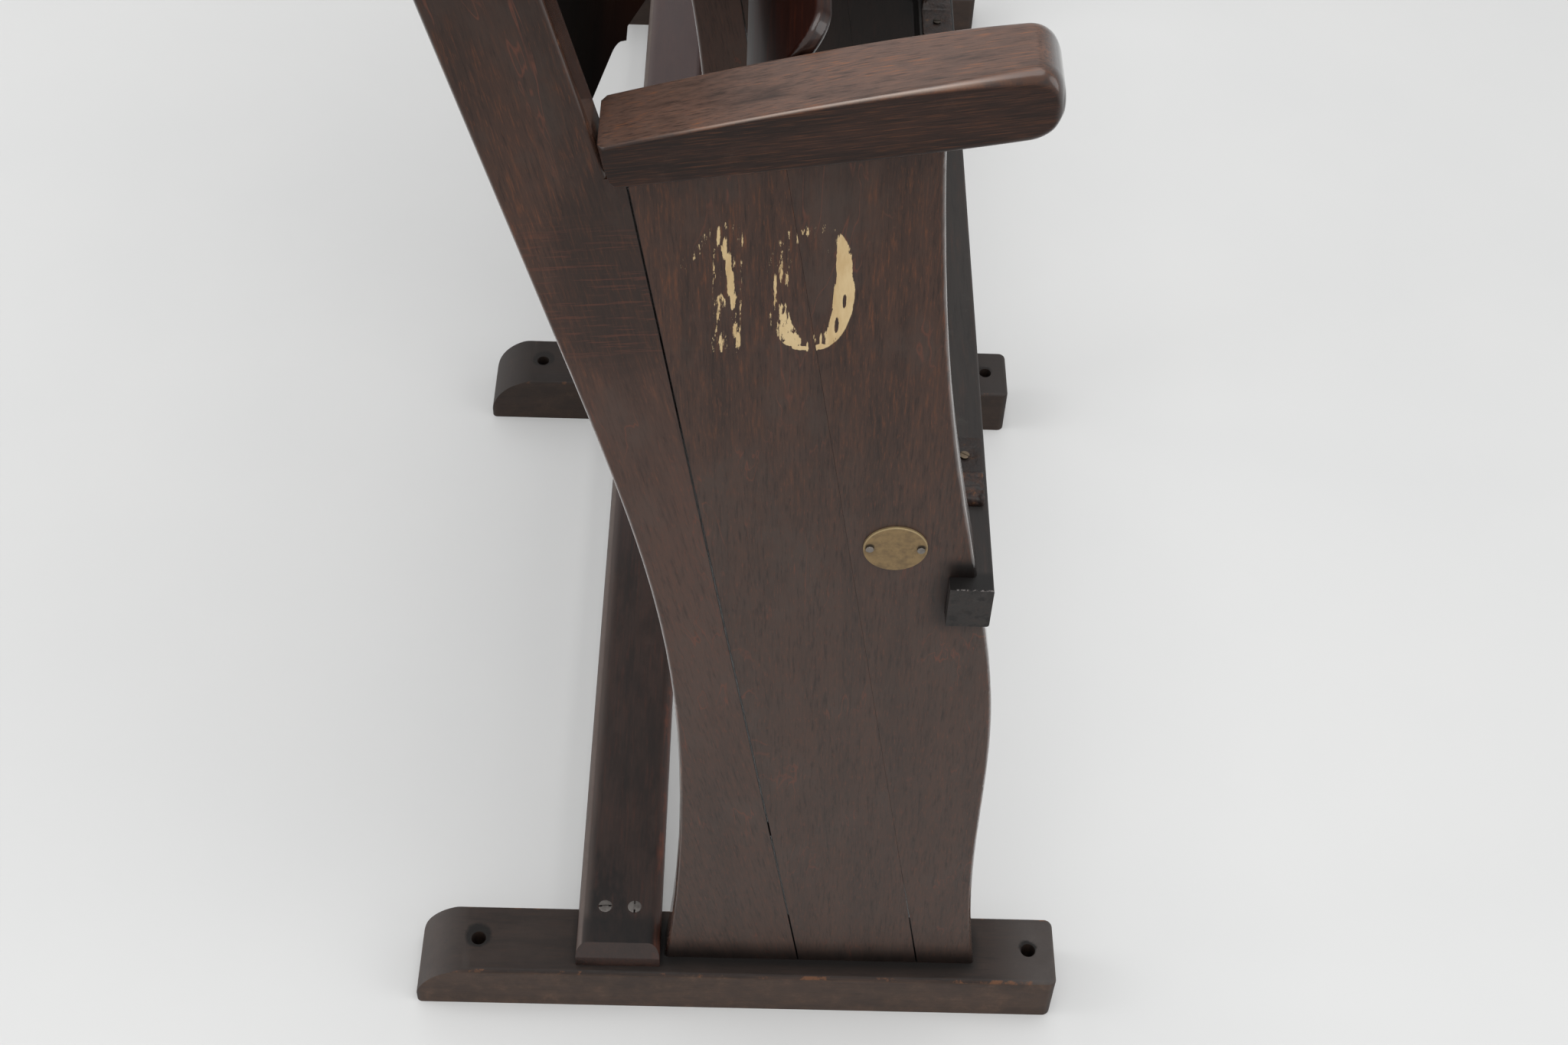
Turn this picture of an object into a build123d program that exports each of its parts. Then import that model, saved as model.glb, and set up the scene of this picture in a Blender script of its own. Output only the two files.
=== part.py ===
from build123d import *
from math import atan, cos, sin, tan, radians
import os

# Two-seat wooden cinema bench with tip-up seats, seats shown tipped up.
# Millimetres. X runs along the bench, the sitter faces -Y, Z is up.
# The origin is on the floor, in the middle of the bench and of its feet.
# Side profiles use "forward", the distance ahead of the rear end of a foot.

# Bench
seat_pitch = 500.0
board_thick = 20.0
board_round = 2.5
open_joint = 0.8
tight_joint = 0.1
tight_joint_foot = 0.9
tight_joint_opens = 170.0

# Feet
foot_length = 394.0
foot_width = 46.0
foot_thick = 39.0
foot_heel_round = 36.0
foot_toe_round = 3.0
foot_heel_corner = 3.5
foot_toe_corner = 5.0
floor_hole_radius = 4.5
floor_hole_heel = 39.0
floor_hole_toe = 16.5

# Outline of a standard: forward and height of the points its curves pass
heel_forward = 153.3
waist_rear = (163.0, 258.0)
hip_rear = (145.6, 420.0)
post_root_rear = (110.6, 568.0)
post_lean = 14.4
post_width = 47.5
post_top = 862.0
post_top_round = 16.0
heel_flare = 9.0
heel_flare_pull = 0.6
toe_forward = 343.5
ankle_front = (331.8, 170.0)
knee_front = (327.0, 301.0)
thigh_front = (292.9, 489.0)
chest_front = (273.3, 637.0)
shoulder_forward = 269.9
rear_joint_low = 235.5
rear_joint_high = 143.8
front_joint_low = 308.3
front_joint_high = 206.8

# Armrests
arm_rear_base = 656.5
arm_end_gap = 1.5
arm_rear_height = 20.5
arm_slope = 10.5
arm_width = 34.0
arm_nose_forward = 313.0
arm_nose_top = 719.0
arm_crown = 3.0
arm_nose_round = 15.0
arm_brow_round = 12.0
arm_edge_round = 4.5

# Joinery
tenon_length = 48.0
tenon_thick = 10.0
tenon_depth = 16.0
fit_gap = 0.15
peg_fit = 0.05
dowel_radius = 4.0
dowel_length = 44.0
dowel_play = 1.0
low_dowel_height = 170.0
high_dowel_height = 555.0
arm_dowel_length = 28.0
arm_dowel_rear = 30.0
arm_dowel_front = 35.0
board_core = 5.0

# Floor rail and front bar
rail_width = 51.0
rail_thick = 16.0
rail_round = 7.0
rail_end_bevel = 6.8
rail_end_inset = 6.0
rail_to_standard = 2.5
bar_depth = 21.5
bar_height = 28.0
bar_rear_forward = 295.0
bar_top = 412.5
bar_overhang = 8.0
bar_edge_round = 1.5

# Back panels
panel_thick = 8.0
panel_setback = 8.0
panel_housing = 6.0
panel_side_base = 667.0
panel_fall = 0.33
panel_step_inset = 79.0
panel_step_run = 31.0
panel_step_drop = 17.0
panel_quirk = 10.5
panel_sweep_run = 59.0
panel_sweep_fall = 0.44
panel_side_top = 826.0
panel_crest = 20.0
panel_edge_round = 2.0

# Seats, in their tipped-up place
seat_clear = 2.0
ply_thick = 8.0
seat_face_forward = 190.5
seat_front_reach = 290.0
seat_rear_reach = 62.0
lip_radius = 120.0
lip_angle = 40.0
seat_corner_round = 15.0
ply_edge_round = 2.5
seat_travel = 87.0
axis_below_face = 24.0
batten_width = 24.0
batten_depth = 24.0
batten_inset = 36.0
batten_bracket_gap = 4.0
batten_front_gap = 12.0
batten_end_round = 14.0

# Pivots
pin_radius = 5.0
pin_running_gap = 0.05
pin_end_gap = 1.0
pin_head_radius = 8.0
pin_head_thick = 3.0
bearing_width = 34.0
bearing_height = 62.0
bearing_thick = 4.0
bearing_corner = 8.0
bracket_thick = 3.0
bracket_flange = 36.0
bracket_setback = 5.0
bracket_rear_reach = 22.0
bracket_front_reach = 48.0
bracket_lobe_radius = 13.0

# Stops and bumpers
rest_gap = 0.3
peg_radius = 6.0
peg_reach = 24.0
peg_end_round = 1.5
peg_below_axis = 46.0
pad_length = 20.0
pad_thick = 6.0
pad_margin = 1.5
pad_edge_round = 1.5
tab_length = 26.0
tab_thick = 2.0

# Number disc on the outer face of the left standard
disc_radius = 15.5
disc_thick = 1.2
disc_edge_round = 0.4
disc_forward = 267.2
disc_height = 433.6
disc_pin_spacing = 24.6
disc_pin_radius = 1.2
disc_pin_head = 2.0
disc_pin_head_thick = 0.8
disc_pin_length = 10.0

# Wood screws: head radius, head depth, shank radius
screw_head = 4.2
screw_head_depth = 2.6
screw_shank = 2.0
rail_screw_skin = 12.0
rail_screw_spacing = 18.0
rail_screw_inset = 32.0
bar_screw_length = 48.0
pad_screw_length = 16.0
bearing_screw_spacing = 44.0
ply_screw_skin = 3.0
batten_screw_margin = 20.0
bracket_screw_margin = 10.0
bracket_screw_inset = 22.0
foot_screw_length = 72.0
foot_screw_margin = 24.0

# Values that follow from the sizes above
half_board = board_thick / 2
half_foot = foot_width / 2
let_in = half_board - board_core / 2
standard_places = {"left": -seat_pitch, "middle": 0.0, "right": seat_pitch}
seat_places = {"left": -seat_pitch / 2, "right": seat_pitch / 2}
clear_width = seat_pitch - board_thick
seat_gap = (arm_width - board_thick) / 2 + seat_clear
seat_width = clear_width - 2 * seat_gap
axis_forward = seat_face_forward + axis_below_face
bar_front_forward = bar_rear_forward + bar_depth
bar_base = bar_top - bar_height
batten_below_axis = ply_thick + batten_depth - axis_below_face
pad_depth = bar_depth - 2 * pad_margin
pad_top = bar_top + pad_thick
rail_front_forward = heel_forward - rail_to_standard
rail_rear_forward = rail_front_forward - rail_width
rail_top = foot_thick + rail_thick
rail_screw_length = rail_top - rail_screw_skin
bearing_screw_length = bearing_thick + let_in
batten_screw_length = batten_depth + ply_thick - ply_screw_skin
bracket_screw_length = bracket_thick + ply_thick - ply_screw_skin

# The seat lands on the rear edge of its bumpers at the end of its travel
landing_run = bar_rear_forward + pad_margin - axis_forward - batten_below_axis * cos(radians(seat_travel))
landing_rise = landing_run / tan(radians(seat_travel))
axis_height = pad_top + rest_gap + batten_below_axis * sin(radians(seat_travel)) - landing_rise
seat_top = axis_height + seat_front_reach
lip_start = seat_top - lip_radius * sin(radians(lip_angle))
under_forward = seat_face_forward + ply_thick

# Overshoot of cutting shapes, and how close two measures count as equal
cut_over = 1.0
region_over = 60.0
same = 0.01


def spot(forward, height):
    return (foot_length / 2 - forward, height)


def place(x, forward, height):
    return Location((x, foot_length / 2 - forward, height))


def slab(face, x_from, x_to):
    return extrude(Plane.YZ.offset(x_from) * face, amount=x_to - x_from)


def outline(*corners):
    return make_face(Polyline(*[spot(*corner) for corner in corners], close=True))


def rod(x_from, x_to, forward, height, radius):
    along_x = place(x_from, forward, height) * Rot(0, 90, 0)
    return along_x * Cylinder(radius, x_to - x_from, align=(Align.CENTER, Align.CENTER, Align.MIN))


def screw(where, length, grow=0.0):
    # A countersunk wood screw with its head at the place given, driven along local -Z
    profile = Polyline(
        (0, 0),
        (screw_head + grow, 0),
        (screw_shank + grow, -screw_head_depth),
        (screw_shank + grow, -length - grow),
        (0, -length - grow),
        close=True,
    )
    return where * revolve(Plane.XZ * make_face(profile), Axis.Z)


def screw_hole(where, length):
    return screw(where, length, fit_gap)


def on_line(low, high, height):
    # Forward distance of a straight line between two points, at a height
    share = (height - low[1]) / (high[1] - low[1])
    return low[0] + (high[0] - low[0]) * share


def post_rear(height):
    return post_root_rear[0] - (height - post_root_rear[1]) * tan(radians(post_lean))


def post_front(height):
    return post_rear(height) + post_width / cos(radians(post_lean))


def arm_base(forward):
    # The shoulder rises from the front edge of the post
    return arm_rear_base + (forward - post_front(arm_rear_base)) * tan(radians(arm_slope))


rear_joint = ((rear_joint_low, foot_thick), (rear_joint_high, arm_rear_base))
front_joint = ((front_joint_low, foot_thick), (front_joint_high, arm_base(front_joint_high)))


# Pieces that pass through or into the standards

def floor_rail_screw_places():
    middle = (rail_front_forward + rail_rear_forward) / 2
    places = []
    for name, x in standard_places.items():
        inward = {"left": 1, "middle": 0, "right": -1}[name]
        row_x = x + inward * (rail_screw_inset + rail_end_inset - half_foot)
        for side in (-1, 1):
            places.append(place(row_x, middle + side * rail_screw_spacing / 2, rail_top))
    return places


def bar_screw_places():
    height = bar_top - bar_height / 2
    return [place(x, bar_front_forward, height) * Rot(90, 0, 0) for x in standard_places.values()]


def bearing_faces(seat_x):
    # The two inner faces that carry a seat, and the way each one looks
    return [(seat_x - clear_width / 2, 1), (seat_x + clear_width / 2, -1)]


def bearing_screw_places(x, way):
    turn = Rot(0, 90 * way, 0)
    half = bearing_screw_spacing / 2
    face = x + way * bearing_thick
    return [place(face, axis_forward, axis_height + side * half) * turn for side in (-1, 1)]


def foot_screw_places(x):
    under = Rot(180, 0, 0)
    rear = place(x, heel_forward + foot_screw_margin, 0) * under
    front = place(x, toe_forward - foot_screw_margin, 0) * under
    return [rear, front]


def joint_dowel_places(joint):
    # Two dowels square to a board joint, clear of the bar notch and the seat pivot
    low, high = joint
    square = Vector(0, low[1] - high[1], low[0] - high[0]).normalized()
    heights = (low_dowel_height, high_dowel_height)
    return [(*spot(on_line(low, high, height), height), square) for height in heights]


def joint_dowel(x, where, length, radius):
    y, z, square = where
    return Plane((x, y, z), z_dir=square) * Cylinder(radius, length)


def arm_dowel_places(x):
    turn = Rot(-arm_slope, 0, 0)
    places = []
    for forward in (front_joint_high - arm_dowel_rear, front_joint_high + arm_dowel_front):
        places.append(place(x, forward, arm_base(forward)) * turn)
    return places


def peg_place():
    return (under_forward + rest_gap + peg_radius, axis_height - peg_below_axis)


# Standards

def standard_face():
    post_top_front = post_front(post_top)
    post_top_rear = post_rear(post_top)
    lean = Vector(*spot(*post_root_rear)) - Vector(*spot(post_top_rear, post_top))
    rear = Spline(
        spot(*post_root_rear),
        spot(*hip_rear),
        spot(*waist_rear),
        spot(heel_forward, foot_thick),
        tangents=(lean, Vector(tan(radians(heel_flare)), -1)),
        tangent_scalars=(1.0, heel_flare_pull),
    )
    front = Spline(
        spot(toe_forward, foot_thick),
        spot(*ankle_front),
        spot(*knee_front),
        spot(*thigh_front),
        spot(*chest_front),
        spot(shoulder_forward, arm_base(shoulder_forward)),
    )
    crotch = post_root_crotch()
    edges = [
        Line(spot(post_top_rear, post_top), spot(*post_root_rear)),
        rear,
        Line(spot(heel_forward, foot_thick), spot(toe_forward, foot_thick)),
        front,
        Line(spot(shoulder_forward, arm_base(shoulder_forward)), crotch),
        Line(crotch, spot(post_top_front, post_top)),
        Line(spot(post_top_front, post_top), spot(post_top_rear, post_top)),
    ]
    return make_face(edges)


def post_root_crotch():
    # Where the front edge of the post meets the shoulder that carries the armrest
    return spot(post_front(arm_rear_base), arm_rear_base)


def rounded_standard():
    blank = slab(standard_face(), -half_board, half_board)
    corners = [edge for edge in blank.edges().filter_by(Axis.X) if edge.center().Z > post_top - same]
    blank = fillet(corners, post_top_round)
    crotch = Vector(*post_root_crotch())
    shoulder = Vector(*spot(shoulder_forward, arm_base(shoulder_forward)))
    arm_seat = (crotch + shoulder) / 2
    rims = []
    for edge in blank.edges():
        box = edge.bounding_box()
        middle = Vector(edge.center().Y, edge.center().Z)
        on_foot = box.max.Z < foot_thick + same
        under_arm = (middle - arm_seat).length < same
        if box.size.X < same and not on_foot and not under_arm:
            rims.append(edge)
    return fillet(rims, board_round)


def board_regions():
    # Forward limits of the three boards, either side of the two joints
    above = post_top + region_over
    below = foot_thick - tenon_depth - cut_over
    far_rear = post_rear(post_top) - region_over
    far_front = foot_length + region_over

    def across(joint, shift, height):
        return on_line(*joint, height) + shift

    half_open = open_joint / 2
    half_tight = tight_joint / 2
    half_foot_gap = tight_joint_foot / 2
    crotch_height = post_root_crotch()[1]
    rear = outline(
        (far_rear, below),
        (across(rear_joint, -half_open, below), below),
        (across(rear_joint, -half_open, crotch_height), crotch_height),
        (across(rear_joint, -half_open, crotch_height), above),
        (far_rear, above),
    )
    centre = outline(
        (across(rear_joint, half_open, below), below),
        (across(front_joint, -half_foot_gap, below), below),
        (across(front_joint, -half_tight, tight_joint_opens), tight_joint_opens),
        (across(front_joint, -half_tight, above), above),
        (across(rear_joint, half_open, above), above),
    )
    front = outline(
        (across(front_joint, half_foot_gap, below), below),
        (far_front, below),
        (far_front, above),
        (across(front_joint, half_tight, above), above),
        (across(front_joint, half_tight, tight_joint_opens), tight_joint_opens),
    )
    return {"post_board": rear, "centre_board": centre, "front_board": front}


def panel_blank(seat_x, grow):
    # The flat sheet of a back panel, leaning with the posts
    reach = clear_width / 2 + panel_housing + grow
    lean = radians(post_lean)
    middle_setback = panel_setback + panel_thick / 2
    height = (panel_side_base + panel_side_top) / 2
    forward = post_front(height) - middle_setback / cos(lean)
    y, z = spot(forward, height)
    sheet = Plane((seat_x, y, z), x_dir=(1, 0, 0), z_dir=(0, -cos(lean), sin(lean)))
    return sheet, reach


def panel_outline(seat_x, grow):
    sheet, reach = panel_blank(seat_x, grow)
    lean = radians(post_lean)
    centre_height = sheet.origin.Z
    base = (panel_side_base - centre_height) / cos(lean) - grow
    crown = (panel_side_top - centre_height) / cos(lean) + grow
    step_x = clear_width / 2 - panel_step_inset
    step_top = base - panel_fall * panel_step_inset
    step_end = step_x - panel_step_run
    step_base = step_top - panel_step_drop
    quirk_end = step_end - panel_quirk
    sweep_end = quirk_end - panel_sweep_run
    sweep_base = step_base - panel_sweep_fall * panel_sweep_run
    bottom = sweep_base - sweep_end * tan(atan(panel_sweep_fall) / 2)
    edges = []
    for side in (-1, 1):
        falling = (-side, -panel_fall)
        edges.append(Line((side * reach, crown), (side * reach, base)))
        edges.append(Line((side * reach, base), (side * clear_width / 2, base)))
        edges.append(Line((side * clear_width / 2, base), (side * step_x, step_top)))
        edges.append(TangentArc((side * step_x, step_top), (side * step_end, step_base), tangent=falling))
        edges.append(Line((side * step_end, step_base), (side * quirk_end, step_base)))
        edges.append(Line((side * quirk_end, step_base), (side * sweep_end, sweep_base)))
    edges.append(ThreePointArc((-sweep_end, sweep_base), (0, bottom), (sweep_end, sweep_base)))
    edges.append(ThreePointArc((-reach, crown), (0, crown + panel_crest), (reach, crown)))
    return sheet, make_face(edges)


def panel_solid(seat_x, grow=0.0):
    sheet, face = panel_outline(seat_x, grow)
    half = panel_thick / 2 + grow
    return extrude(sheet * face, amount=half, both=True)


def back_panel(seat_x):
    # The crest is rounded over
    body = panel_solid(seat_x)
    crest = [edge for edge in body.edges() if edge.center().Z > panel_side_top and edge.length > clear_width]
    return fillet(crest, panel_edge_round)


def build_standards():
    nodes = {}
    blank = rounded_standard()
    notch = slab(
        outline(
            (bar_rear_forward - fit_gap, bar_base - fit_gap),
            (foot_length, bar_base - fit_gap),
            (foot_length, bar_top + fit_gap),
            (bar_rear_forward - fit_gap, bar_top + fit_gap),
        ),
        -foot_width,
        foot_width,
    )
    tenon_middle = (on_line(*rear_joint, foot_thick) + on_line(*front_joint, foot_thick)) / 2
    tenon_rear = tenon_middle - tenon_length / 2
    tenon_front = tenon_middle + tenon_length / 2
    tenon = slab(
        outline(
            (tenon_rear, foot_thick - tenon_depth),
            (tenon_front, foot_thick - tenon_depth),
            (tenon_front, foot_thick + tenon_depth),
            (tenon_rear, foot_thick + tenon_depth),
        ),
        -tenon_thick / 2,
        tenon_thick / 2,
    )
    shaped = (blank - notch) + tenon
    for name, x in standard_places.items():
        cuts = [screw_hole(where, bar_screw_length) for where in bar_screw_places()]
        cuts += [screw_hole(where, foot_screw_length) for where in foot_screw_places(x)]
        for joint in (rear_joint, front_joint):
            for where in joint_dowel_places(joint):
                cuts.append(joint_dowel(x, where, dowel_length + dowel_play, dowel_radius + fit_gap))
        for where in arm_dowel_places(x):
            cuts.append(where * Cylinder(dowel_radius + fit_gap, arm_dowel_length + dowel_play))
        peg_forward, peg_height = peg_place()
        for seat_x in seat_places.values():
            if abs(seat_x - x) > seat_pitch:
                continue
            cuts.append(panel_solid(seat_x, fit_gap))
            for face_x, way in bearing_faces(seat_x):
                ends = sorted((face_x + way * cut_over, face_x - way * let_in))
                cuts.append(rod(*ends, axis_forward, axis_height, pin_radius + fit_gap))
                cuts.append(rod(*ends, peg_forward, peg_height, peg_radius + peg_fit))
                for where in bearing_screw_places(face_x, way):
                    cuts.append(screw_hole(where, bearing_screw_length))
        if name == "left":
            for where in disc_pin_places():
                cuts.append(where * Cylinder(disc_pin_radius + peg_fit, 2 * disc_pin_length))
        whole = Pos(x, 0, 0) * shaped - cuts
        for board, region in board_regions().items():
            nodes[f"{name}_{board}"] = whole & slab(region, x - foot_width, x + foot_width)
        nodes[f"{name}_foot"] = foot(x, tenon_rear, tenon_front)
        nodes[f"{name}_armrest"] = armrest(x)
    return nodes


def foot(x, tenon_rear, tenon_front):
    body = slab(
        outline((0, 0), (foot_length, 0), (foot_length, foot_thick), (0, foot_thick)), -half_foot, half_foot
    )
    uprights = body.edges().filter_by(Axis.Z).sort_by(Axis.Y)
    body = fillet(uprights[2:], foot_heel_corner)
    body = fillet(body.edges().filter_by(Axis.Z).sort_by(Axis.Y)[:2], foot_toe_corner)
    body = fillet(body.faces().sort_by(Axis.Z)[-1].edges(), foot_toe_round)
    heel_start = spot(0, foot_thick - foot_heel_round)
    heel_end = spot(foot_heel_round, foot_thick)
    behind = -cut_over
    over = foot_thick + cut_over
    heel_profile = make_face(
        [
            Line(spot(behind, foot_thick - foot_heel_round), heel_start),
            RadiusArc(heel_start, heel_end, -foot_heel_round),
            Line(heel_end, spot(foot_heel_round, over)),
            Line(spot(foot_heel_round, over), spot(behind, over)),
            Line(spot(behind, over), spot(behind, foot_thick - foot_heel_round)),
        ]
    )
    body -= slab(heel_profile, -foot_width, foot_width)
    mortise = slab(
        outline(
            (tenon_rear - fit_gap, foot_thick - tenon_depth - fit_gap),
            (tenon_front + fit_gap, foot_thick - tenon_depth - fit_gap),
            (tenon_front + fit_gap, foot_thick + cut_over),
            (tenon_rear - fit_gap, foot_thick + cut_over),
        ),
        -tenon_thick / 2 - fit_gap,
        tenon_thick / 2 + fit_gap,
    )
    cuts = [mortise]
    for forward in (floor_hole_heel, foot_length - floor_hole_toe):
        cuts.append(place(0, forward, foot_thick / 2) * Cylinder(floor_hole_radius, foot_thick + cut_over))
    cuts += [screw_hole(where, foot_screw_length) for where in foot_screw_places(0)]
    body = Pos(x, 0, 0) * (body - cuts)
    return body - [screw_hole(where, rail_screw_length) for where in floor_rail_screw_places()]


def armrest(x):
    # A wedge that butts against the post with a square end and rises to a rounded nose
    rear_top = arm_rear_base + arm_rear_height
    rear_forward = post_front(arm_rear_base) + arm_end_gap
    rear_low = spot(rear_forward, arm_base(rear_forward))
    rear_high = spot(post_front(rear_top) + arm_end_gap, rear_top)
    nose_low = spot(arm_nose_forward, arm_base(arm_nose_forward))
    nose_high = spot(arm_nose_forward, arm_nose_top)
    crown = ((rear_high[0] + nose_high[0]) / 2, (rear_top + arm_nose_top) / 2 + arm_crown)
    face = make_face(
        [
            Line(rear_low, nose_low),
            Line(nose_low, nose_high),
            ThreePointArc(nose_high, crown, rear_high),
            Line(rear_high, rear_low),
        ]
    )
    body = slab(face, -arm_width / 2, arm_width / 2)
    nose_edges = body.edges().filter_by(Axis.X).sort_by(Axis.Y)[:2].sort_by(Axis.Z)
    body = fillet(nose_edges[0], arm_nose_round)
    brow_edge = body.edges().filter_by(Axis.X).sort_by(Axis.Z)[-1]
    body = fillet(brow_edge, arm_brow_round)
    rims = body.edges().filter_by(lambda edge: edge.bounding_box().size.X < same).sort_by(Axis.Y)
    body = fillet(rims[:-2], arm_edge_round)
    hole = Cylinder(dowel_radius + fit_gap, arm_dowel_length + dowel_play)
    return Pos(x, 0, 0) * (body - [where * hole for where in arm_dowel_places(0)])


# Long pieces that tie the standards together

def floor_rail():
    half = seat_pitch + half_foot - rail_end_inset
    body = slab(
        outline(
            (rail_rear_forward, foot_thick),
            (rail_front_forward, foot_thick),
            (rail_front_forward, rail_top),
            (rail_rear_forward, rail_top),
        ),
        -half,
        half,
    )
    end_edges = [edge for edge in body.edges().filter_by(Axis.Y) if edge.center().Z > rail_top - same]
    body = chamfer(end_edges, rail_end_bevel)
    long_edges = [edge for edge in body.edges().filter_by(Axis.X) if edge.center().Z > rail_top - same]
    body = fillet(long_edges, rail_round)
    return body - [screw_hole(where, rail_screw_length) for where in floor_rail_screw_places()]


def front_bar():
    half = seat_pitch + half_board + bar_overhang
    body = slab(
        outline(
            (bar_rear_forward, bar_base),
            (bar_front_forward, bar_base),
            (bar_front_forward, bar_top),
            (bar_rear_forward, bar_top),
        ),
        -half,
        half,
    )
    front_y = spot(bar_front_forward, 0)[0]
    front_edges = [edge for edge in body.edges().filter_by(Axis.X) if edge.center().Y < front_y + same]
    body = fillet(front_edges, bar_edge_round)
    cuts = [screw_hole(where, bar_screw_length) for where in bar_screw_places()]
    for seat_x in seat_places.values():
        cuts += [screw_hole(where, pad_screw_length) for where in pad_screw_places(seat_x)]
    return body - cuts


def pad_ends(seat_x):
    # Each bumper sits under a batten, with its tab towards the middle of the seat
    return [(seat_x + side * (clear_width / 2 - batten_inset), -side) for side in (-1, 1)]


def pad_screw_places(seat_x):
    middle = bar_rear_forward + bar_depth / 2
    return [
        place(x + way * (pad_length + tab_length) / 2, middle, bar_top + tab_thick)
        for x, way in pad_ends(seat_x)
    ]


def bumpers(seat_x):
    solids = []
    for x, way in pad_ends(seat_x):
        pad = place(x, bar_rear_forward + bar_depth / 2, bar_top) * Box(
            pad_length, pad_depth, pad_thick, align=(Align.CENTER, Align.CENTER, Align.MIN)
        )
        rims = [edge for edge in pad.edges() if edge.center().Z > pad_top - same]
        pad = fillet(rims, pad_edge_round)
        tab_x = x + way * (pad_length + tab_length) / 2
        tab = place(tab_x, bar_rear_forward + bar_depth / 2, bar_top) * Box(
            tab_length, pad_depth, tab_thick, align=(Align.CENTER, Align.CENTER, Align.MIN)
        )
        holes = [screw_hole(where, pad_screw_length) for where in pad_screw_places(seat_x)]
        solids.append((pad + tab) - holes)
    return solids


# Seats

def seat_profile():
    centre_forward = seat_face_forward + lip_radius
    inner = lip_radius - ply_thick
    half_angle = lip_angle / 2

    def on_lip(radius, angle):
        turn = radians(angle)
        return spot(centre_forward - radius * cos(turn), lip_start + radius * sin(turn))

    rear_height = axis_height - seat_rear_reach
    lip_corner = on_lip(lip_radius, lip_angle)
    return make_face(
        [
            Line(spot(seat_face_forward, rear_height), spot(seat_face_forward, lip_start)),
            ThreePointArc(on_lip(lip_radius, 0), on_lip(lip_radius, half_angle), lip_corner),
            Line(lip_corner, on_lip(inner, lip_angle)),
            ThreePointArc(on_lip(inner, lip_angle), on_lip(inner, half_angle), on_lip(inner, 0)),
            Line(spot(under_forward, lip_start), spot(under_forward, rear_height)),
            Line(spot(under_forward, rear_height), spot(seat_face_forward, rear_height)),
        ]
    )


def seat_panel(seat_x):
    body = slab(seat_profile(), seat_x - seat_width / 2, seat_x + seat_width / 2)
    corners = [edge for edge in body.edges() if abs(edge.length - ply_thick) < same]
    body = fillet(corners, seat_corner_round)
    rims = [edge for edge in body.edges() if edge.bounding_box().size.X > same or edge.length > 2 * ply_thick]
    rims = [edge for edge in rims if not is_bend_line(edge)]
    body = fillet(rims, ply_edge_round)
    holes = [screw_hole(where, batten_screw_length) for where in batten_screw_places(seat_x)]
    holes += [screw_hole(where, bracket_screw_length) for where in bracket_screw_places(seat_x)]
    return body - holes


def is_bend_line(edge):
    # The lines across the sheet where the flat part runs into the curved lip
    straight_across = abs(edge.bounding_box().size.X - edge.length) < same
    return straight_across and abs(edge.center().Z - lip_start) < same


def batten_places(seat_x):
    return [seat_x + side * (clear_width / 2 - batten_inset) for side in (-1, 1)]


def batten_span():
    # The battens start in front of the brackets, so that they reach over the bumpers
    return axis_height + bracket_front_reach + batten_bracket_gap, lip_start - batten_front_gap


def batten_screw_places(seat_x):
    low, high = batten_span()
    front = under_forward + batten_depth
    heights = [low + batten_screw_margin, (low + high) / 2, high - batten_screw_margin]
    return [place(x, front, height) * Rot(90, 0, 0) for x in batten_places(seat_x) for height in heights]


def battens(seat_x):
    low, high = batten_span()
    solids = []
    for x in batten_places(seat_x):
        body = slab(
            outline(
                (under_forward, low),
                (under_forward + batten_depth, low),
                (under_forward + batten_depth, high),
                (under_forward, high),
            ),
            x - batten_width / 2,
            x + batten_width / 2,
        )
        front_y = spot(under_forward + batten_depth, 0)[0]
        ends = [edge for edge in body.edges().filter_by(Axis.X) if edge.center().Y < front_y + same]
        body = fillet(ends, batten_end_round)
        holes = [screw_hole(where, batten_screw_length) for where in batten_screw_places(seat_x)]
        solids.append(body - holes)
    return solids


def bracket_sides(seat_x):
    # Outer face of each bracket's ear and the way towards the middle of the seat
    return [(seat_x + side * (seat_width / 2 - bracket_setback), -side) for side in (-1, 1)]


def bracket_screw_places(seat_x):
    face = under_forward + bracket_thick
    low = axis_height - bracket_rear_reach + bracket_screw_margin
    high = axis_height + bracket_front_reach - bracket_screw_margin
    return [
        place(x + way * bracket_screw_inset, face, height) * Rot(90, 0, 0)
        for x, way in bracket_sides(seat_x)
        for height in (low, high)
    ]


def brackets(seat_x):
    solids = []
    low = axis_height - bracket_rear_reach
    high = axis_height + bracket_front_reach
    for x, way in bracket_sides(seat_x):
        ends = sorted((x, x + way * bracket_flange))
        flange = slab(
            outline(
                (under_forward, low),
                (under_forward + bracket_thick, low),
                (under_forward + bracket_thick, high),
                (under_forward, high),
            ),
            *ends,
        )
        ends = sorted((x, x + way * bracket_thick))
        lobe = rod(*ends, axis_forward, axis_height, bracket_lobe_radius)
        web = slab(
            outline(
                (under_forward, low),
                (axis_forward, axis_height - bracket_lobe_radius),
                (axis_forward, axis_height + bracket_lobe_radius),
                (under_forward, high),
            ),
            *ends,
        )
        ends = sorted((x - way * cut_over, x + way * (bracket_thick + cut_over)))
        bore = rod(*ends, axis_forward, axis_height, pin_radius + peg_fit)
        holes = [screw_hole(where, bracket_screw_length) for where in bracket_screw_places(seat_x)]
        solids.append((flange + web + lobe) - bore - holes)
    return solids


def pins(seat_x):
    solids = []
    for x, way in bracket_sides(seat_x):
        face = seat_x - way * clear_width / 2
        head = x + way * bracket_thick
        shank_ends = sorted((face - way * (let_in - pin_end_gap), head))
        head_ends = sorted((head, head + way * pin_head_thick))
        shank = rod(*shank_ends, axis_forward, axis_height, pin_radius)
        solids.append(shank + rod(*head_ends, axis_forward, axis_height, pin_head_radius))
    return solids


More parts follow.
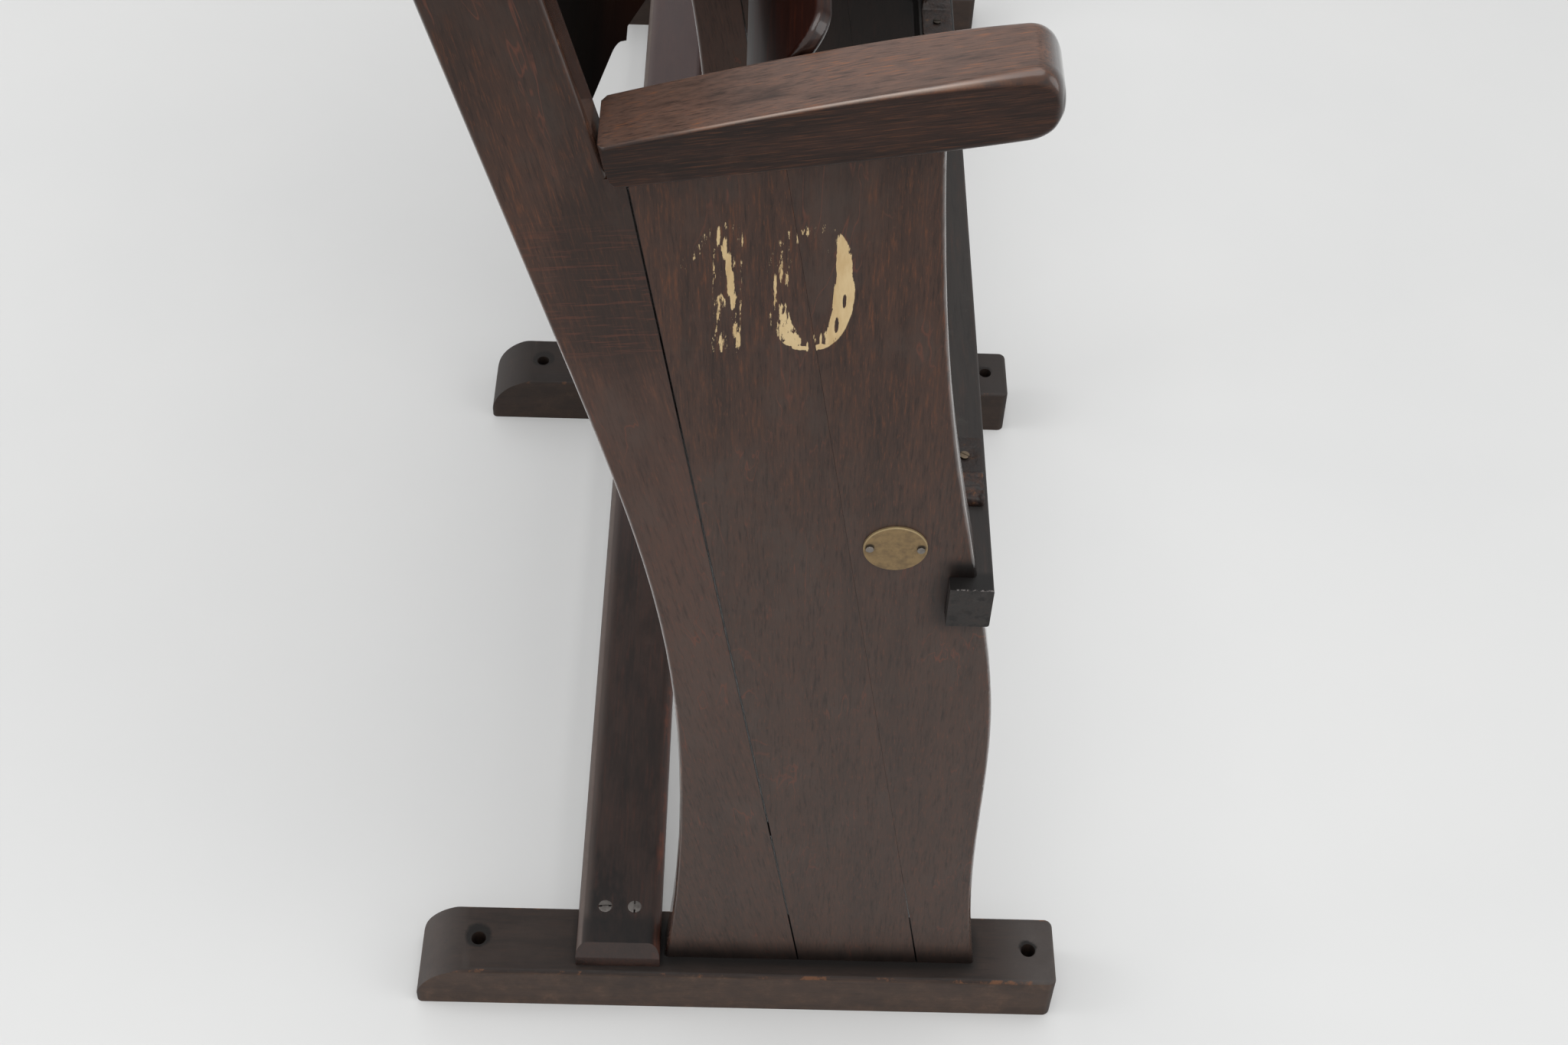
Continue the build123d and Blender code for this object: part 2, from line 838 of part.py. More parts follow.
def bearings(seat_x):
    solids = []
    for face_x, way in bearing_faces(seat_x):
        half_width = bearing_width / 2
        half_height = bearing_height / 2
        ends = sorted((face_x, face_x + way * bearing_thick))
        plate = slab(
            outline(
                (axis_forward - half_width, axis_height - half_height),
                (axis_forward + half_width, axis_height - half_height),
                (axis_forward + half_width, axis_height + half_height),
                (axis_forward - half_width, axis_height + half_height),
            ),
            *ends,
        )
        plate = fillet(plate.edges().filter_by(Axis.X), bearing_corner)
        bore_ends = (ends[0] - cut_over, ends[1] + cut_over)
        bore = rod(*bore_ends, axis_forward, axis_height, pin_radius + pin_running_gap)
        holes = [screw_hole(where, bearing_screw_length) for where in bearing_screw_places(face_x, way)]
        solids.append(plate - bore - holes)
    return solids


def stops(seat_x):
    forward, height = peg_place()
    solids = []
    for face_x, way in bearing_faces(seat_x):
        free_x = face_x + way * peg_reach
        peg = rod(*sorted((face_x - way * let_in, free_x)), forward, height, peg_radius)
        free_end = [edge for edge in peg.edges() if abs(edge.center().X - free_x) < same]
        solids.append(fillet(free_end, peg_end_round))
    return solids


# Number disc

def disc_face_x():
    return standard_places["left"] - half_board


def disc_pin_places():
    turn = Rot(0, -90, 0)
    half = disc_pin_spacing / 2
    return [place(disc_face_x(), disc_forward + side * half, disc_height) * turn for side in (-1, 1)]


def number_disc():
    disc = rod(disc_face_x() - disc_thick, disc_face_x(), disc_forward, disc_height, disc_radius)
    rim = [edge for edge in disc.edges() if abs(edge.center().X - disc_face_x() + disc_thick) < same]
    disc = fillet(rim, disc_edge_round)
    hole = Cylinder(disc_pin_radius + peg_fit, 2 * (disc_thick + cut_over))
    return disc - [where * hole for where in disc_pin_places()]


def disc_pins():
    solids = []
    for where in disc_pin_places():
        shank = where * Pos(0, 0, -disc_pin_length) * Cylinder(
            disc_pin_radius, disc_pin_length + disc_thick, align=(Align.CENTER, Align.CENTER, Align.MIN)
        )
        head = where * Pos(0, 0, disc_thick) * Cylinder(
            disc_pin_head, disc_pin_head_thick, align=(Align.CENTER, Align.CENTER, Align.MIN)
        )
        rim = head.edges().sort_by(Axis.X)[0]
        solids.append(shank + fillet(rim, disc_edge_round))
    return solids


def board_dowels():
    solids = []
    for x in standard_places.values():
        for joint in (rear_joint, front_joint):
            for where in joint_dowel_places(joint):
                solids.append(joint_dowel(x, where, dowel_length, dowel_radius))
    return solids


def arm_dowels():
    return [
        where * Cylinder(dowel_radius, arm_dowel_length)
        for x in standard_places.values()
        for where in arm_dowel_places(x)
    ]


def build():
    nodes = build_standards()
    nodes["board_dowels"] = board_dowels()
    nodes["armrest_dowels"] = arm_dowels()
    nodes["foot_screws"] = [
        screw(where, foot_screw_length) for x in standard_places.values() for where in foot_screw_places(x)
    ]
    nodes["floor_rail"] = floor_rail()
    nodes["floor_rail_screws"] = [screw(where, rail_screw_length) for where in floor_rail_screw_places()]
    nodes["front_bar"] = front_bar()
    nodes["front_bar_screws"] = [screw(where, bar_screw_length) for where in bar_screw_places()]
    nodes["bearing_screws"] = [
        screw(where, bearing_screw_length)
        for seat_x in seat_places.values()
        for face_x, way in bearing_faces(seat_x)
        for where in bearing_screw_places(face_x, way)
    ]
    nodes["number_disc"] = number_disc()
    nodes["disc_pins"] = disc_pins()
    for seat, seat_x in seat_places.items():
        nodes[f"{seat}_back_panel"] = back_panel(seat_x)
        nodes[f"{seat}_seat_panel"] = seat_panel(seat_x)
        nodes[f"{seat}_seat_battens"] = battens(seat_x)
        nodes[f"{seat}_seat_brackets"] = brackets(seat_x)
        nodes[f"{seat}_seat_pins"] = pins(seat_x)
        nodes[f"{seat}_batten_screws"] = [
            screw(where, batten_screw_length) for where in batten_screw_places(seat_x)
        ]
        nodes[f"{seat}_bracket_screws"] = [
            screw(where, bracket_screw_length) for where in bracket_screw_places(seat_x)
        ]
        nodes[f"{seat}_seat_bearings"] = bearings(seat_x)
        nodes[f"{seat}_seat_stops"] = stops(seat_x)
        nodes[f"{seat}_seat_bumpers"] = bumpers(seat_x)
        nodes[f"{seat}_bumper_screws"] = [
            screw(where, pad_screw_length) for where in pad_screw_places(seat_x)
        ]
    return nodes


os.makedirs("parts", exist_ok=True)
for node, shape in build().items():
    pieces = shape if isinstance(shape, list) else [shape]
    solids = [solid for piece in pieces for solid in piece.solids()]
    export_step(solids[0] if len(solids) == 1 else Compound(children=solids), f"parts/{node}.step")
print("seat axis", axis_forward, round(axis_height, 2), "seat top", round(seat_top, 2))
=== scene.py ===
import math

import bmesh
import bpy
from mathutils import Euler, Matrix, Vector, noise
from mathutils.bvhtree import BVHTree


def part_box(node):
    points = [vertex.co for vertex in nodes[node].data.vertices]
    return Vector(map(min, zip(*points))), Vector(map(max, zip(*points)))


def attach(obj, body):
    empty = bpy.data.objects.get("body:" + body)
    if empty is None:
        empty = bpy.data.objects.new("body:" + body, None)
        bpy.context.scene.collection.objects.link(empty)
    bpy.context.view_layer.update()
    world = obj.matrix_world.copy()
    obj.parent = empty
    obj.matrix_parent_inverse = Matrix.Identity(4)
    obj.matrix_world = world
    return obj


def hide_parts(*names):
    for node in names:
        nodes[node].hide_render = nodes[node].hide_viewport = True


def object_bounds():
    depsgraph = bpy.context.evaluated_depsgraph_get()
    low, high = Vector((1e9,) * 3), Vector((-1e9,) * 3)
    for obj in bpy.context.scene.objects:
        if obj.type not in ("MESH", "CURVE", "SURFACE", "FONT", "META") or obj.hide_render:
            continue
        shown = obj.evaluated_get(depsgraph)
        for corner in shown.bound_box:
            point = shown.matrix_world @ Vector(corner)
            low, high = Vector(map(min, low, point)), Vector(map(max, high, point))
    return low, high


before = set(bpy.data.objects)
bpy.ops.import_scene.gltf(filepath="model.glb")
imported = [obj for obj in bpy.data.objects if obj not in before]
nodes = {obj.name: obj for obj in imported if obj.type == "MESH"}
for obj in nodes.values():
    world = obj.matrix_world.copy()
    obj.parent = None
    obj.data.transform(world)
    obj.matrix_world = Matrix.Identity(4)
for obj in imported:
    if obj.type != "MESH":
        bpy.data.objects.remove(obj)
cadBounds = [list(corner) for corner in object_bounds()]
mm = 0.001
rearEdge = cadBounds[1][1] / mm  # the looks measure forward from here, in mm
print("frame loaded:", len(nodes), "nodes")


# Node trees and the sums in them

class Wire:
    # one socket of a node tree; sums, products and comparisons on it add Math nodes
    def __init__(self, sheet, socket):
        self.sheet = sheet
        self.socket = socket

    def also(self, name):
        # another output of the same node
        return Wire(self.sheet, self.socket.node.outputs[name])

    def maths(self, operation, *values):
        return self.sheet.add("ShaderNodeMath", {"operation": operation}, dict(enumerate(values)))

    def __add__(self, other):
        return self.maths("ADD", self, other)

    def __radd__(self, other):
        return self.maths("ADD", other, self)

    def __sub__(self, other):
        return self.maths("SUBTRACT", self, other)

    def __rsub__(self, other):
        return self.maths("SUBTRACT", other, self)

    def __mul__(self, other):
        return self.maths("MULTIPLY", self, other)

    def __rmul__(self, other):
        return self.maths("MULTIPLY", other, self)

    def __truediv__(self, other):
        return self.maths("DIVIDE", self, other)

    def __rtruediv__(self, other):
        return self.maths("DIVIDE", other, self)

    def __pow__(self, power):
        return self.maths("POWER", self, power)

    def __neg__(self):
        return self * -1

    def __abs__(self):
        return self.maths("ABSOLUTE", self)

    def rounded(self):
        return self.maths("ROUND", self)

    def lower(self, other):
        return self.maths("MINIMUM", self, other)

    def upper(self, other):
        return self.maths("MAXIMUM", self, other)

    def rise(self, low, high, least=0.0, most=1.0):
        # least up to low, most from high on, smooth between; low above high runs the other way
        ends = {"Value": self, "From Min": low, "From Max": high, "To Min": least, "To Max": most}
        return self.sheet.add("ShaderNodeMapRange", {"interpolation_type": "SMOOTHSTEP"}, ends)

    def near(self, middle, reach):
        # 1 at middle, 0 at reach away from it
        return abs(self - middle).rise(reach, 0)

    def within(self, low, high, soft):
        # 1 between low and high, 0 outside
        return self.rise(low - soft, low + soft) * self.rise(high + soft, high - soft)


class Sheet:
    # a node tree; every node in it is made by add
    def __init__(self, tree):
        self.tree = tree

    def add(self, kind, settings=None, sockets=None, out=0):
        node = self.tree.nodes.new(kind)
        for key, value in (settings or {}).items():
            setattr(node, key, value)
        for key, value in (sockets or {}).items():
            socket = node.inputs[key]
            for each in value if isinstance(value, list) else [value]:
                if isinstance(each, Wire):
                    self.tree.links.new(each.socket, socket)
                else:
                    socket.default_value = each
        return None if out is None else Wire(self, node.outputs[out])


class Finish(Sheet):
    # one material on the piece's own coordinates; its look holds its colours, grains and coats
    def __init__(self, name, look, **fixed):
        self.look = look
        self.material = bpy.data.materials.new(name)
        self.material.use_nodes = True
        super().__init__(self.material.node_tree)
        self.tree.nodes.clear()
        surface = self.add("ShaderNodeBsdfPrincipled", {}, {"Specular IOR Level": look["shine"], **fixed})
        self.shader = surface.socket.node
        self.add("ShaderNodeOutputMaterial", {"name": "surfaceEnd"}, {"Surface": surface}, out=None)
        self.place = self.add("ShaderNodeTexCoord", out="Object")
        self.x, self.y, self.z = self.parts(self.place)
        self.faceX, self.faceY, self.faceZ = self.parts(self.place.also("Normal"))
        self.forward = rearEdge - self.y / mm
        self.height = self.z / mm
        # what a coat can name: places in mm, the way a face points, and the grains of the look
        self.masks = {
            "x": self.x / mm, "forward": self.forward, "height": self.height,
            "faceUp": self.faceZ, "faceSide": abs(self.faceX),
            "faceNear": -self.faceX, "faceFront": -self.faceY,
        }
        for key, (counts, seed, *sizes) in look["grains"].items():
            self.masks[key] = self.grain(counts, look["seed"] + seed, *sizes, lean=look.get("lean", 0.0))

    def parts(self, vector):
        split = self.add("ShaderNodeSeparateXYZ", {}, {"Vector": vector})
        return [split, split.also("Y"), split.also("Z")]

    def stretched(self, counts, lean=0.0):
        # the piece's own coordinates, turned about X and then scaled to counts per metre
        wire = self.place
        if not isinstance(counts, tuple):
            counts, lean = (counts, counts, counts), 0.0
        if lean:
            turned = {"Vector": wire, "Rotation": (math.radians(lean), 0, 0)}
            wire = self.add("ShaderNodeVectorRotate", {"rotation_type": "EULER_XYZ"}, turned)
        return self.add("ShaderNodeVectorMath", {"operation": "MULTIPLY"}, {0: wire, 1: counts})

    def grain(self, counts, seed, detail, rough, warp=0.0, lean=0.0):
        # noise with counts per metre along X, Y and Z, or one count where it is even
        sizes = {"W": seed, "Scale": 1.0, "Detail": detail, "Roughness": rough, "Distortion": warp}
        sizes["Vector"] = self.stretched(counts, lean)
        return self.add("ShaderNodeTexNoise", {"noise_dimensions": "4D"}, sizes)

    def cells(self, count, out="Distance"):
        sizes = {"Vector": self.stretched(count), "Scale": 1.0}
        return self.add("ShaderNodeTexVoronoi", {"voronoi_dimensions": "3D"}, sizes, out=out)

    def oval(self, along, up, halfAlong, halfUp):
        # 0 in the middle of an oval on the side of the bench, 1 on its rim; forward and height in mm
        return ((self.forward - along) / halfAlong) ** 2 + ((self.height - up) / halfUp) ** 2

    def mix(self, factor, first, second):
        first, second = (tone(*each) if isinstance(each, tuple) else each for each in (first, second))
        return self.add("ShaderNodeMix", {"data_type": "RGBA"}, {0: factor, 6: first, 7: second}, out=2)

    def layCoats(self, base):
        # a coat is a colour, how much of it and its masks; a mask with a range rises over it
        self.colour = self.look[base]
        for colour, much, *places in self.look["coats"]:
            factor = self.look.get(much, much)  # a number, or the name of one in the look
            if not factor:
                continue
            for place in places:
                key, *span = [place] if isinstance(place, str) else place
                mask = self.masks[key]
                factor = (mask.rise(*span) if span else mask) * factor
            self.colour = self.mix(factor, self.colour, self.look[colour])

    def link(self, **values):
        for key, value in values.items():
            self.tree.links.new(value.socket, self.shader.inputs[key])

    def close(self, rough, relief, strength, distance=0.0006, **others):
        # links the colour, the roughness and the relief, and gives the material
        sizes = {"Strength": strength, "Distance": distance, "Height": relief}
        bump = self.add("ShaderNodeBump", {}, sizes)
        self.link(**{"Base Color": self.colour, "Roughness": rough, "Normal": bump, **others})
        return self.material


def tone(red, green, blue):
    # a colour of a look, as a screen shows it from 0 to 255, made linear
    def linear(value):
        part = value / 255
        return part / 12.92 if part <= 0.04045 else ((part + 0.055) / 1.055) ** 2.4
    return (linear(red), linear(green), linear(blue), 1.0)


varnish = {"Coat Roughness": 0.14, "Coat IOR": 1.5}  # on boards and plywood
polish = {"Coat Roughness": 0.16, "Coat IOR": 1.5}  # on the other wood


# Stained beech of the standards

boardWood = dict(
    deep=(32, 22, 18), brown=(69, 48, 39), warm=(114, 68, 42), ash=(75, 64, 58),
    stain=(14, 11, 10), rubbed=(138, 96, 68), speck=(196, 188, 178),
    flush=(94, 68, 58), red=(108, 62, 46),
    roughness=(0.40, 0.50), shine=0.24, coat=0.05, edgeCoat=1.0, bump=0.18,
    # each joint as forward at the foot and at the top, and the heights of these
    rearJoint=(235.5, 143.8, 39.0, 656.5), frontJoint=(308.3, 206.8, 39.0, 674.0),
    jointDark=(0.8, 0.4), frontJointFades=(150, 50),
    # counts per metre along X, Y and Z (one where even), seed, detail, roughness, warp
    grains=dict(
        streak=((760, 760, 70), 0, 5.0, 0.66), fleck=((1500, 1500, 150), 6, 2.0, 0.6),
        band=((70, 70, 7), 3, 4.0, 0.6, 0.4), patch=((27, 27, 18), 11, 5.0, 0.66),
        scuff=((150, 150, 60), 17, 5.0, 0.7), flame=((42, 42, 9), 23, 3.0, 0.6, 1.3),
    ),
    waist=430, flameMiddle=0.53, speckCount=80.0, footShadeAndDirt=(64, 42),
    # painted shade and stains over, beside and under the end of the front bar: forward, height and reach, fade,
    # how much
    barShadeAndStains=[((284, 300), (413, 20), (0.05, 0.7), 0.95), ((282, 296), (396, 34), (0.0, 0.6), 0.75)],
    topDark=0.35, flushed=0.0, cornerDark=0.0, rays=0.0,
    coats=[
        ("deep", 0.45, ("band", 0.62, 0.34)),
        ("deep", 0.75, ("streak", 0.5, 0.28)),
        ("warm", 0.65, ("streak", 0.5, 0.72), ("patch", 0.68, 0.42), ("height", 380, 640, 0.4)),
        ("warm", 0.5, ("fleck", 0.58, 0.7), ("patch", 0.68, 0.42), ("height", 380, 640, 0.4)),
        ("ash", 0.45, ("patch", 0.47, 0.7)),
        # greyer towards the bottom
        ("ash", 1, ("height", 580, 360), "rub"),
        ("deep", "topDark", ("height", 600, 860)),
        ("flush", "flushed", ("fromWaist", 280, 0)),
        # fine lines and a little red figure stay on the greyer lower part
        ("deep", 0.4, ("streak", 0.52, 0.3), ("height", 600, 420)),
        ("red", 0.4, ("fleck", 0.55, 0.7), ("height", 600, 420)),
        ("red", 0.5, ("fromFlame", 0.012, 0), ("patch", 0.5, 0.6)),
        # painted shade below the rear end of the armrest, and short rays across the grain
        ("deep", "cornerDark", ("corner", 1.3, 0.3)),
        ("red", "rays", ("ray", 0.54, 0.64), ("rayBand", 0.05, 0.7)),
        ("stain", 0.9, "joints"),
        # painted shade on the middle and right standards: darker all over, darkest on their front parts higher
        # up
        ("deep", 0.45, ("x", -480, -300)),
        ("stain", 1, ("x", -480, -300), ("forward", 190, 260), ("height", 220, 340, 0.3, 0.8)),
        # rubbed along the rounded rims
        ("rubbed", 0.5, ("faceSide", 0.97, 0.75), ("faceSide", 0.1, 0.4), ("scuff", 0.55, 0.7)),
        # painted shade and dirt low above the foot and round the end of the front bar
        ("stain", 1, "dirt"),
        ("speck", 0.7, "specks"),
    ],
)
postLook = dict(
    boardWood, lean=11.0, seed=0.0, topDark=0.75, flushed=0.3, cornerDark=0.55, rays=0.32,
    # the place of the painted shade under the armrest as forward, height, half width and half height
    corner=(140.0, 605.0, 30.0, 62.0), cornerRagged=2.4,
    ray=((640, 44, 640), 31.0, 3.0, 0.6, 0.0, 6.0), rayBand=(592, 62),
)
centreLook = dict(boardWood, lean=2.4, seed=20.0)
frontLook = dict(boardWood, lean=1.8, seed=40.0)

paintTen = dict(
    # stencilled figures on the outer face of the left standard, forward and height in mm
    faceX=-510.0, faceReach=0.6, soft=0.2, softEnds=0.3,
    stem=(178.9, 191.2, 561.4, 635.4),
    flag=(165.5, 610.6, 180.4, 632.1, 5.0),
    ringMiddle=(219.85, 599.85), ringOuter=(18.65, 36.45), ringInner=(9.6, 27.0), ringPower=2.3,
    # where the paint has lasted: forward, height, half width, half height, how much
    centre=[
        (210.6, 577.5, 4.0, 8.5, 0.52), (213.8, 570.0, 3.6, 4.0, 0.60), (208.6, 586.5, 2.0, 5.0, 0.36),
        (207.2, 610.5, 0.9, 10.0, 0.46), (205.0, 599.6, 0.8, 9.0, 0.42), (209.9, 603.6, 0.7, 6.5, 0.40),
        (211.5, 590.4, 0.6, 8.0, 0.42), (206.7, 624.1, 1.4, 4.0, 0.40), (210.1, 629.4, 1.4, 2.6, 0.34),
        (213.5, 628.5, 0.7, 6.0, 0.46), (215.4, 634.1, 1.1, 1.8, 0.36), (203.4, 578.0, 0.6, 10.0, 0.40),
        (181.0, 629.0, 0.9, 6.0, 0.46), (183.6, 621.0, 1.1, 6.5, 0.60), (185.4, 611.5, 1.3, 8.0, 0.72),
        (186.4, 602.0, 1.5, 7.5, 0.75), (187.6, 592.5, 1.2, 6.5, 0.68), (179.4, 609.0, 0.8, 13.0, 0.36),
        (182.4, 591.5, 1.9, 4.5, 0.46), (181.4, 584.5, 1.1, 4.5, 0.40), (182.9, 567.0, 1.1, 6.0, 0.44),
        (189.0, 575.0, 1.6, 5.0, 0.42), (190.2, 568.6, 1.1, 4.5, 0.40), (190.7, 600.0, 0.45, 40.0, 0.30),
        (174.5, 622.8, 1.6, 2.4, 0.16), (171.0, 614.0, 3.0, 1.8, 0.12),
        (212.4, 568.0, 3.0, 1.5, 0.70), (217.0, 565.2, 3.4, 1.3, 0.80), (219.8, 565.6, 0.5, 3.6, 0.50),
    ],
    front=[
        (231.4, 620.0, 2.6, 10.0, 0.80), (233.6, 606.0, 4.0, 16.0, 0.90), (234.6, 590.0, 5.4, 16.0, 1.00),
        (232.5, 577.0, 4.4, 9.0, 0.75), (234.4, 593.9, 0.9, 4.6, -1.7), (231.8, 580.0, 1.0, 5.0, -1.7),
        (239.0, 616.0, 2.4, 14.0, -0.8), (228.6, 612.0, 1.6, 15.0, -0.7), (228.0, 592.0, 1.3, 12.0, -0.5),
        (221.6, 564.9, 3.4, 1.3, 0.80), (226.2, 566.4, 3.2, 1.5, 0.80), (228.9, 571.0, 1.7, 6.0, 0.46),
        (222.4, 567.8, 0.6, 3.6, 0.50), (225.4, 569.4, 0.5, 4.4, 0.50),
        (216.8, 632.0, 2.0, 3.0, 0.30),
    ],
    # counts per metre, seed, detail, roughness
    ragged=((600, 600, 260), 4.0, 2.0, 0.6), flakes=((760, 760, 125), 7.0, 6.0, 0.72),
    shade=((170, 170, 45), 5.0, 4.0, 0.6), shadeRange=(0.36, 0.72),
    raggedBy=1.2, flakeContrast=3, bare=0.14, roughness=0.6, thick=0.9,
    cream=(222, 196, 150), dull=(203, 172, 124),
)


def figureMask(finish):
    # 1 inside the strokes of the figures, 0 outside
    look, height = paintTen, finish.height
    forward = finish.forward + (finish.grain(*look["ragged"]) - 0.5) * look["raggedBy"]
    soft = look["soft"]
    rear, front, base, top = look["stem"]
    stem = forward.within(rear, front, soft) * height.within(base, top, look["softEnds"])
    tipAlong, tipUp, rootAlong, rootUp, thick = look["flag"]
    slope = (rootUp - tipUp) / (rootAlong - tipAlong)
    off = abs(height - tipUp - (forward - tipAlong) * slope) / math.hypot(1, slope)
    flag = off.rise(thick / 2 + soft, thick / 2 - soft) * forward.within(tipAlong, rootAlong, soft)
    middleAlong, middleUp = look["ringMiddle"]

    def squaredOval(halfAlong, halfUp):
        power = look["ringPower"]
        span = (abs(forward - middleAlong) / halfAlong) ** power + (abs(height - middleUp) / halfUp) ** power
        return span.rise(1.02, 0.98)

    ring = squaredOval(*look["ringOuter"]) * (1 - squaredOval(*look["ringInner"]))
    return stem.upper(flag).upper(ring)


def lastingPaint(finish, kept):
    # 1 where paint is left on the outer face
    look = paintTen
    lasting = look["bare"]
    for *oval, much in kept:
        lasting = finish.oval(*oval).rise(1.7, 0.2) * much + lasting
    flakes = (finish.grain(*look["flakes"]) - 0.5) * look["flakeContrast"]
    keep = (flakes + lasting - 0.5).rise(-0.03, 0.03)
    outside = abs(finish.masks["x"] - look["faceX"]).rise(look["faceReach"], look["faceReach"] / 2)
    return figureMask(finish) * keep * outside


def jointLine(finish, joint):
    # 1 along a board joint, where the arrises are dark with old polish
    low, high, base, top = joint
    slope = (high - low) / (top - base)
    off = abs(finish.forward - low - (finish.height - base) * slope) / math.hypot(1, slope)
    return off.rise(*boardWood["jointDark"])


def boardFinish(name, look, kept=None):
    finish = Finish(name, look, **varnish)
    masks, forward, height = finish.masks, finish.forward, finish.height
    streak, fleck, band, patch, scuff, flame = (masks[key] for key in look["grains"])
    frontJoint = jointLine(finish, look["frontJoint"]) * height.rise(*look["frontJointFades"])
    # painted shade and dirt low on the boards above the foot, and round the end of the front bar
    dirt = height.rise(*look["footShadeAndDirt"]) * (scuff * 0.5 + 0.65).lower(1) * 0.95
    for ahead, up, fade, much in look["barShadeAndStains"]:
        dirt = dirt.upper(forward.rise(*ahead) * height.near(*up).rise(*fade) * much)
    chosen = finish.add("ShaderNodeSeparateColor", {}, {"Color": finish.cells(look["speckCount"], out="Color")})
    masks.update({
        "rub": scuff * 0.5 + 0.12, "dirt": dirt,
        "fromWaist": abs(height - look["waist"]), "fromFlame": abs(flame - look["flameMiddle"]),
        "joints": jointLine(finish, look["rearJoint"]).upper(frontJoint),
        "specks": finish.cells(look["speckCount"]).rise(0.06, 0.035) * chosen.rise(0.93, 0.95),
    })
    if look["rays"]:
        ragged = (patch - 0.5) * look["cornerRagged"] + (scuff - 0.5)
        masks["corner"] = finish.oval(*look["corner"]) + ragged
        masks["ray"] = finish.grain(*look["ray"])
        masks["rayBand"] = height.near(*look["rayBand"])
    finish.layCoats("brown")
    edge = masks["faceSide"].rise(0.97, 0.75)
    low, high = look["roughness"]
    rough = band * (high - low) + low + (streak - 0.5) * 0.1 - edge * 0.2
    relief = streak * 0.5 + fleck * 0.25 + scuff * 0.25
    coat = edge * (look["edgeCoat"] - look["coat"]) + look["coat"]
    if kept:
        paint = lastingPaint(finish, kept)
        shade = finish.grain(*paintTen["shade"]).rise(*paintTen["shadeRange"])
        cream = finish.mix(shade, paintTen["cream"], paintTen["dull"])
        finish.colour = finish.mix(paint, finish.colour, cream)
        rough = rough * (1 - paint) + paint * paintTen["roughness"]
        relief = relief + paint * paintTen["thick"]
        coat = coat * (1 - paint)
    return finish.close(rough, relief, look["bump"], **{"Coat Weight": coat})


boardFinishes = {
    "post_board": boardFinish("postBeech", postLook),
    "centre_board": boardFinish("centreBeech", centreLook),
    "front_board": boardFinish("frontBeech", frontLook),
    "left_centre_board": boardFinish("centreBeechNumbered", centreLook, paintTen["centre"]),
    "left_front_board": boardFinish("frontBeechNumbered", frontLook, paintTen["front"]),
}
print("board finishes made")


# Wood of the other pieces

def woodGrains(streak, band, **others):
    # counts per metre along X, Y and Z (one where even), seed, detail, roughness, warp
    return {
        "streak": (streak, 0, 5.0, 0.64), "band": (band, 3, 4.0, 0.6, 0.5),
        "scuff": (70, 9, 6.0, 0.7), **others,
    }


woodCoats = [
    ("deep", 0.6, ("band", 0.6, 0.34)),
    ("warm", "warmth", ("streak", 0.5, 0.72)),
    ("deep", 0.6, ("streak", 0.48, 0.27)),
    ("rubbed", "scuffed", ("scuff", 0.55, 0.75)),
]
armLook = dict(
    deep=(22, 14, 11), brown=(58, 37, 29), warm=(108, 66, 42), rubbed=(116, 90, 78),
    orange=(140, 84, 46), glint=(168, 150, 138),
    roughness=(0.30, 0.42), shine=0.2, coat=0.2, warmth=0.5, scuffed=0.15, bump=0.14,
    lean=10.5, seed=60.0, nose=(240, 320), rear=(190, 130), arrisMiddle=0.62,
    topFaces=(0.6, 0.95), sideFaces=(0.8, 0.98),
    grains=woodGrains((1000, 48, 1000), (75, 7, 75), pores=((1500, 60, 1500), 13, 3.0, 0.6),
                         cloud=((90, 16, 90), 19, 5.0, 0.66)),
    coats=[
        *woodCoats,
        # a rubbed, pored top, lighter partly as painted sheen
        ("rubbed", 1, "top", "topRub"),
        ("deep", 0.7, "top", ("cloud", 0.5, 0.32)),
        ("deep", 0.6, "top", ("pores", 0.5, 0.68)),
        ("orange", 0.7, "top", ("pores", 0.47, 0.3), ("cloud", 0.42, 0.6)),
        # sides darker partly as painted shade, and a darker rear end
        ("warm", 0.45, "side", ("pores", 0.46, 0.3)),
        ("deep", 1, "side", ("pores", 0.48, 0.66, 0.2, 0.7)),
        ("deep", 0.5, "rear", "dirt"),
        # the upper arrises are rubbed orange, a painted highlight runs along the near arris towards the nose,
        # and the nose's front and arrises are darkened as painted shade
        ("orange", 0.35, "arris", ("scuff", 0.4, 0.6), ("forward", 130, 190)),
        ("glint", 1, ("fromArris", 0.32, 0), ("faceUp", 0.3, 0.5), ("forward", 150, 200), ("forward", 300, 255),
         "glintPores"),
        ("deep", 1, "noseDark"),
    ],
)
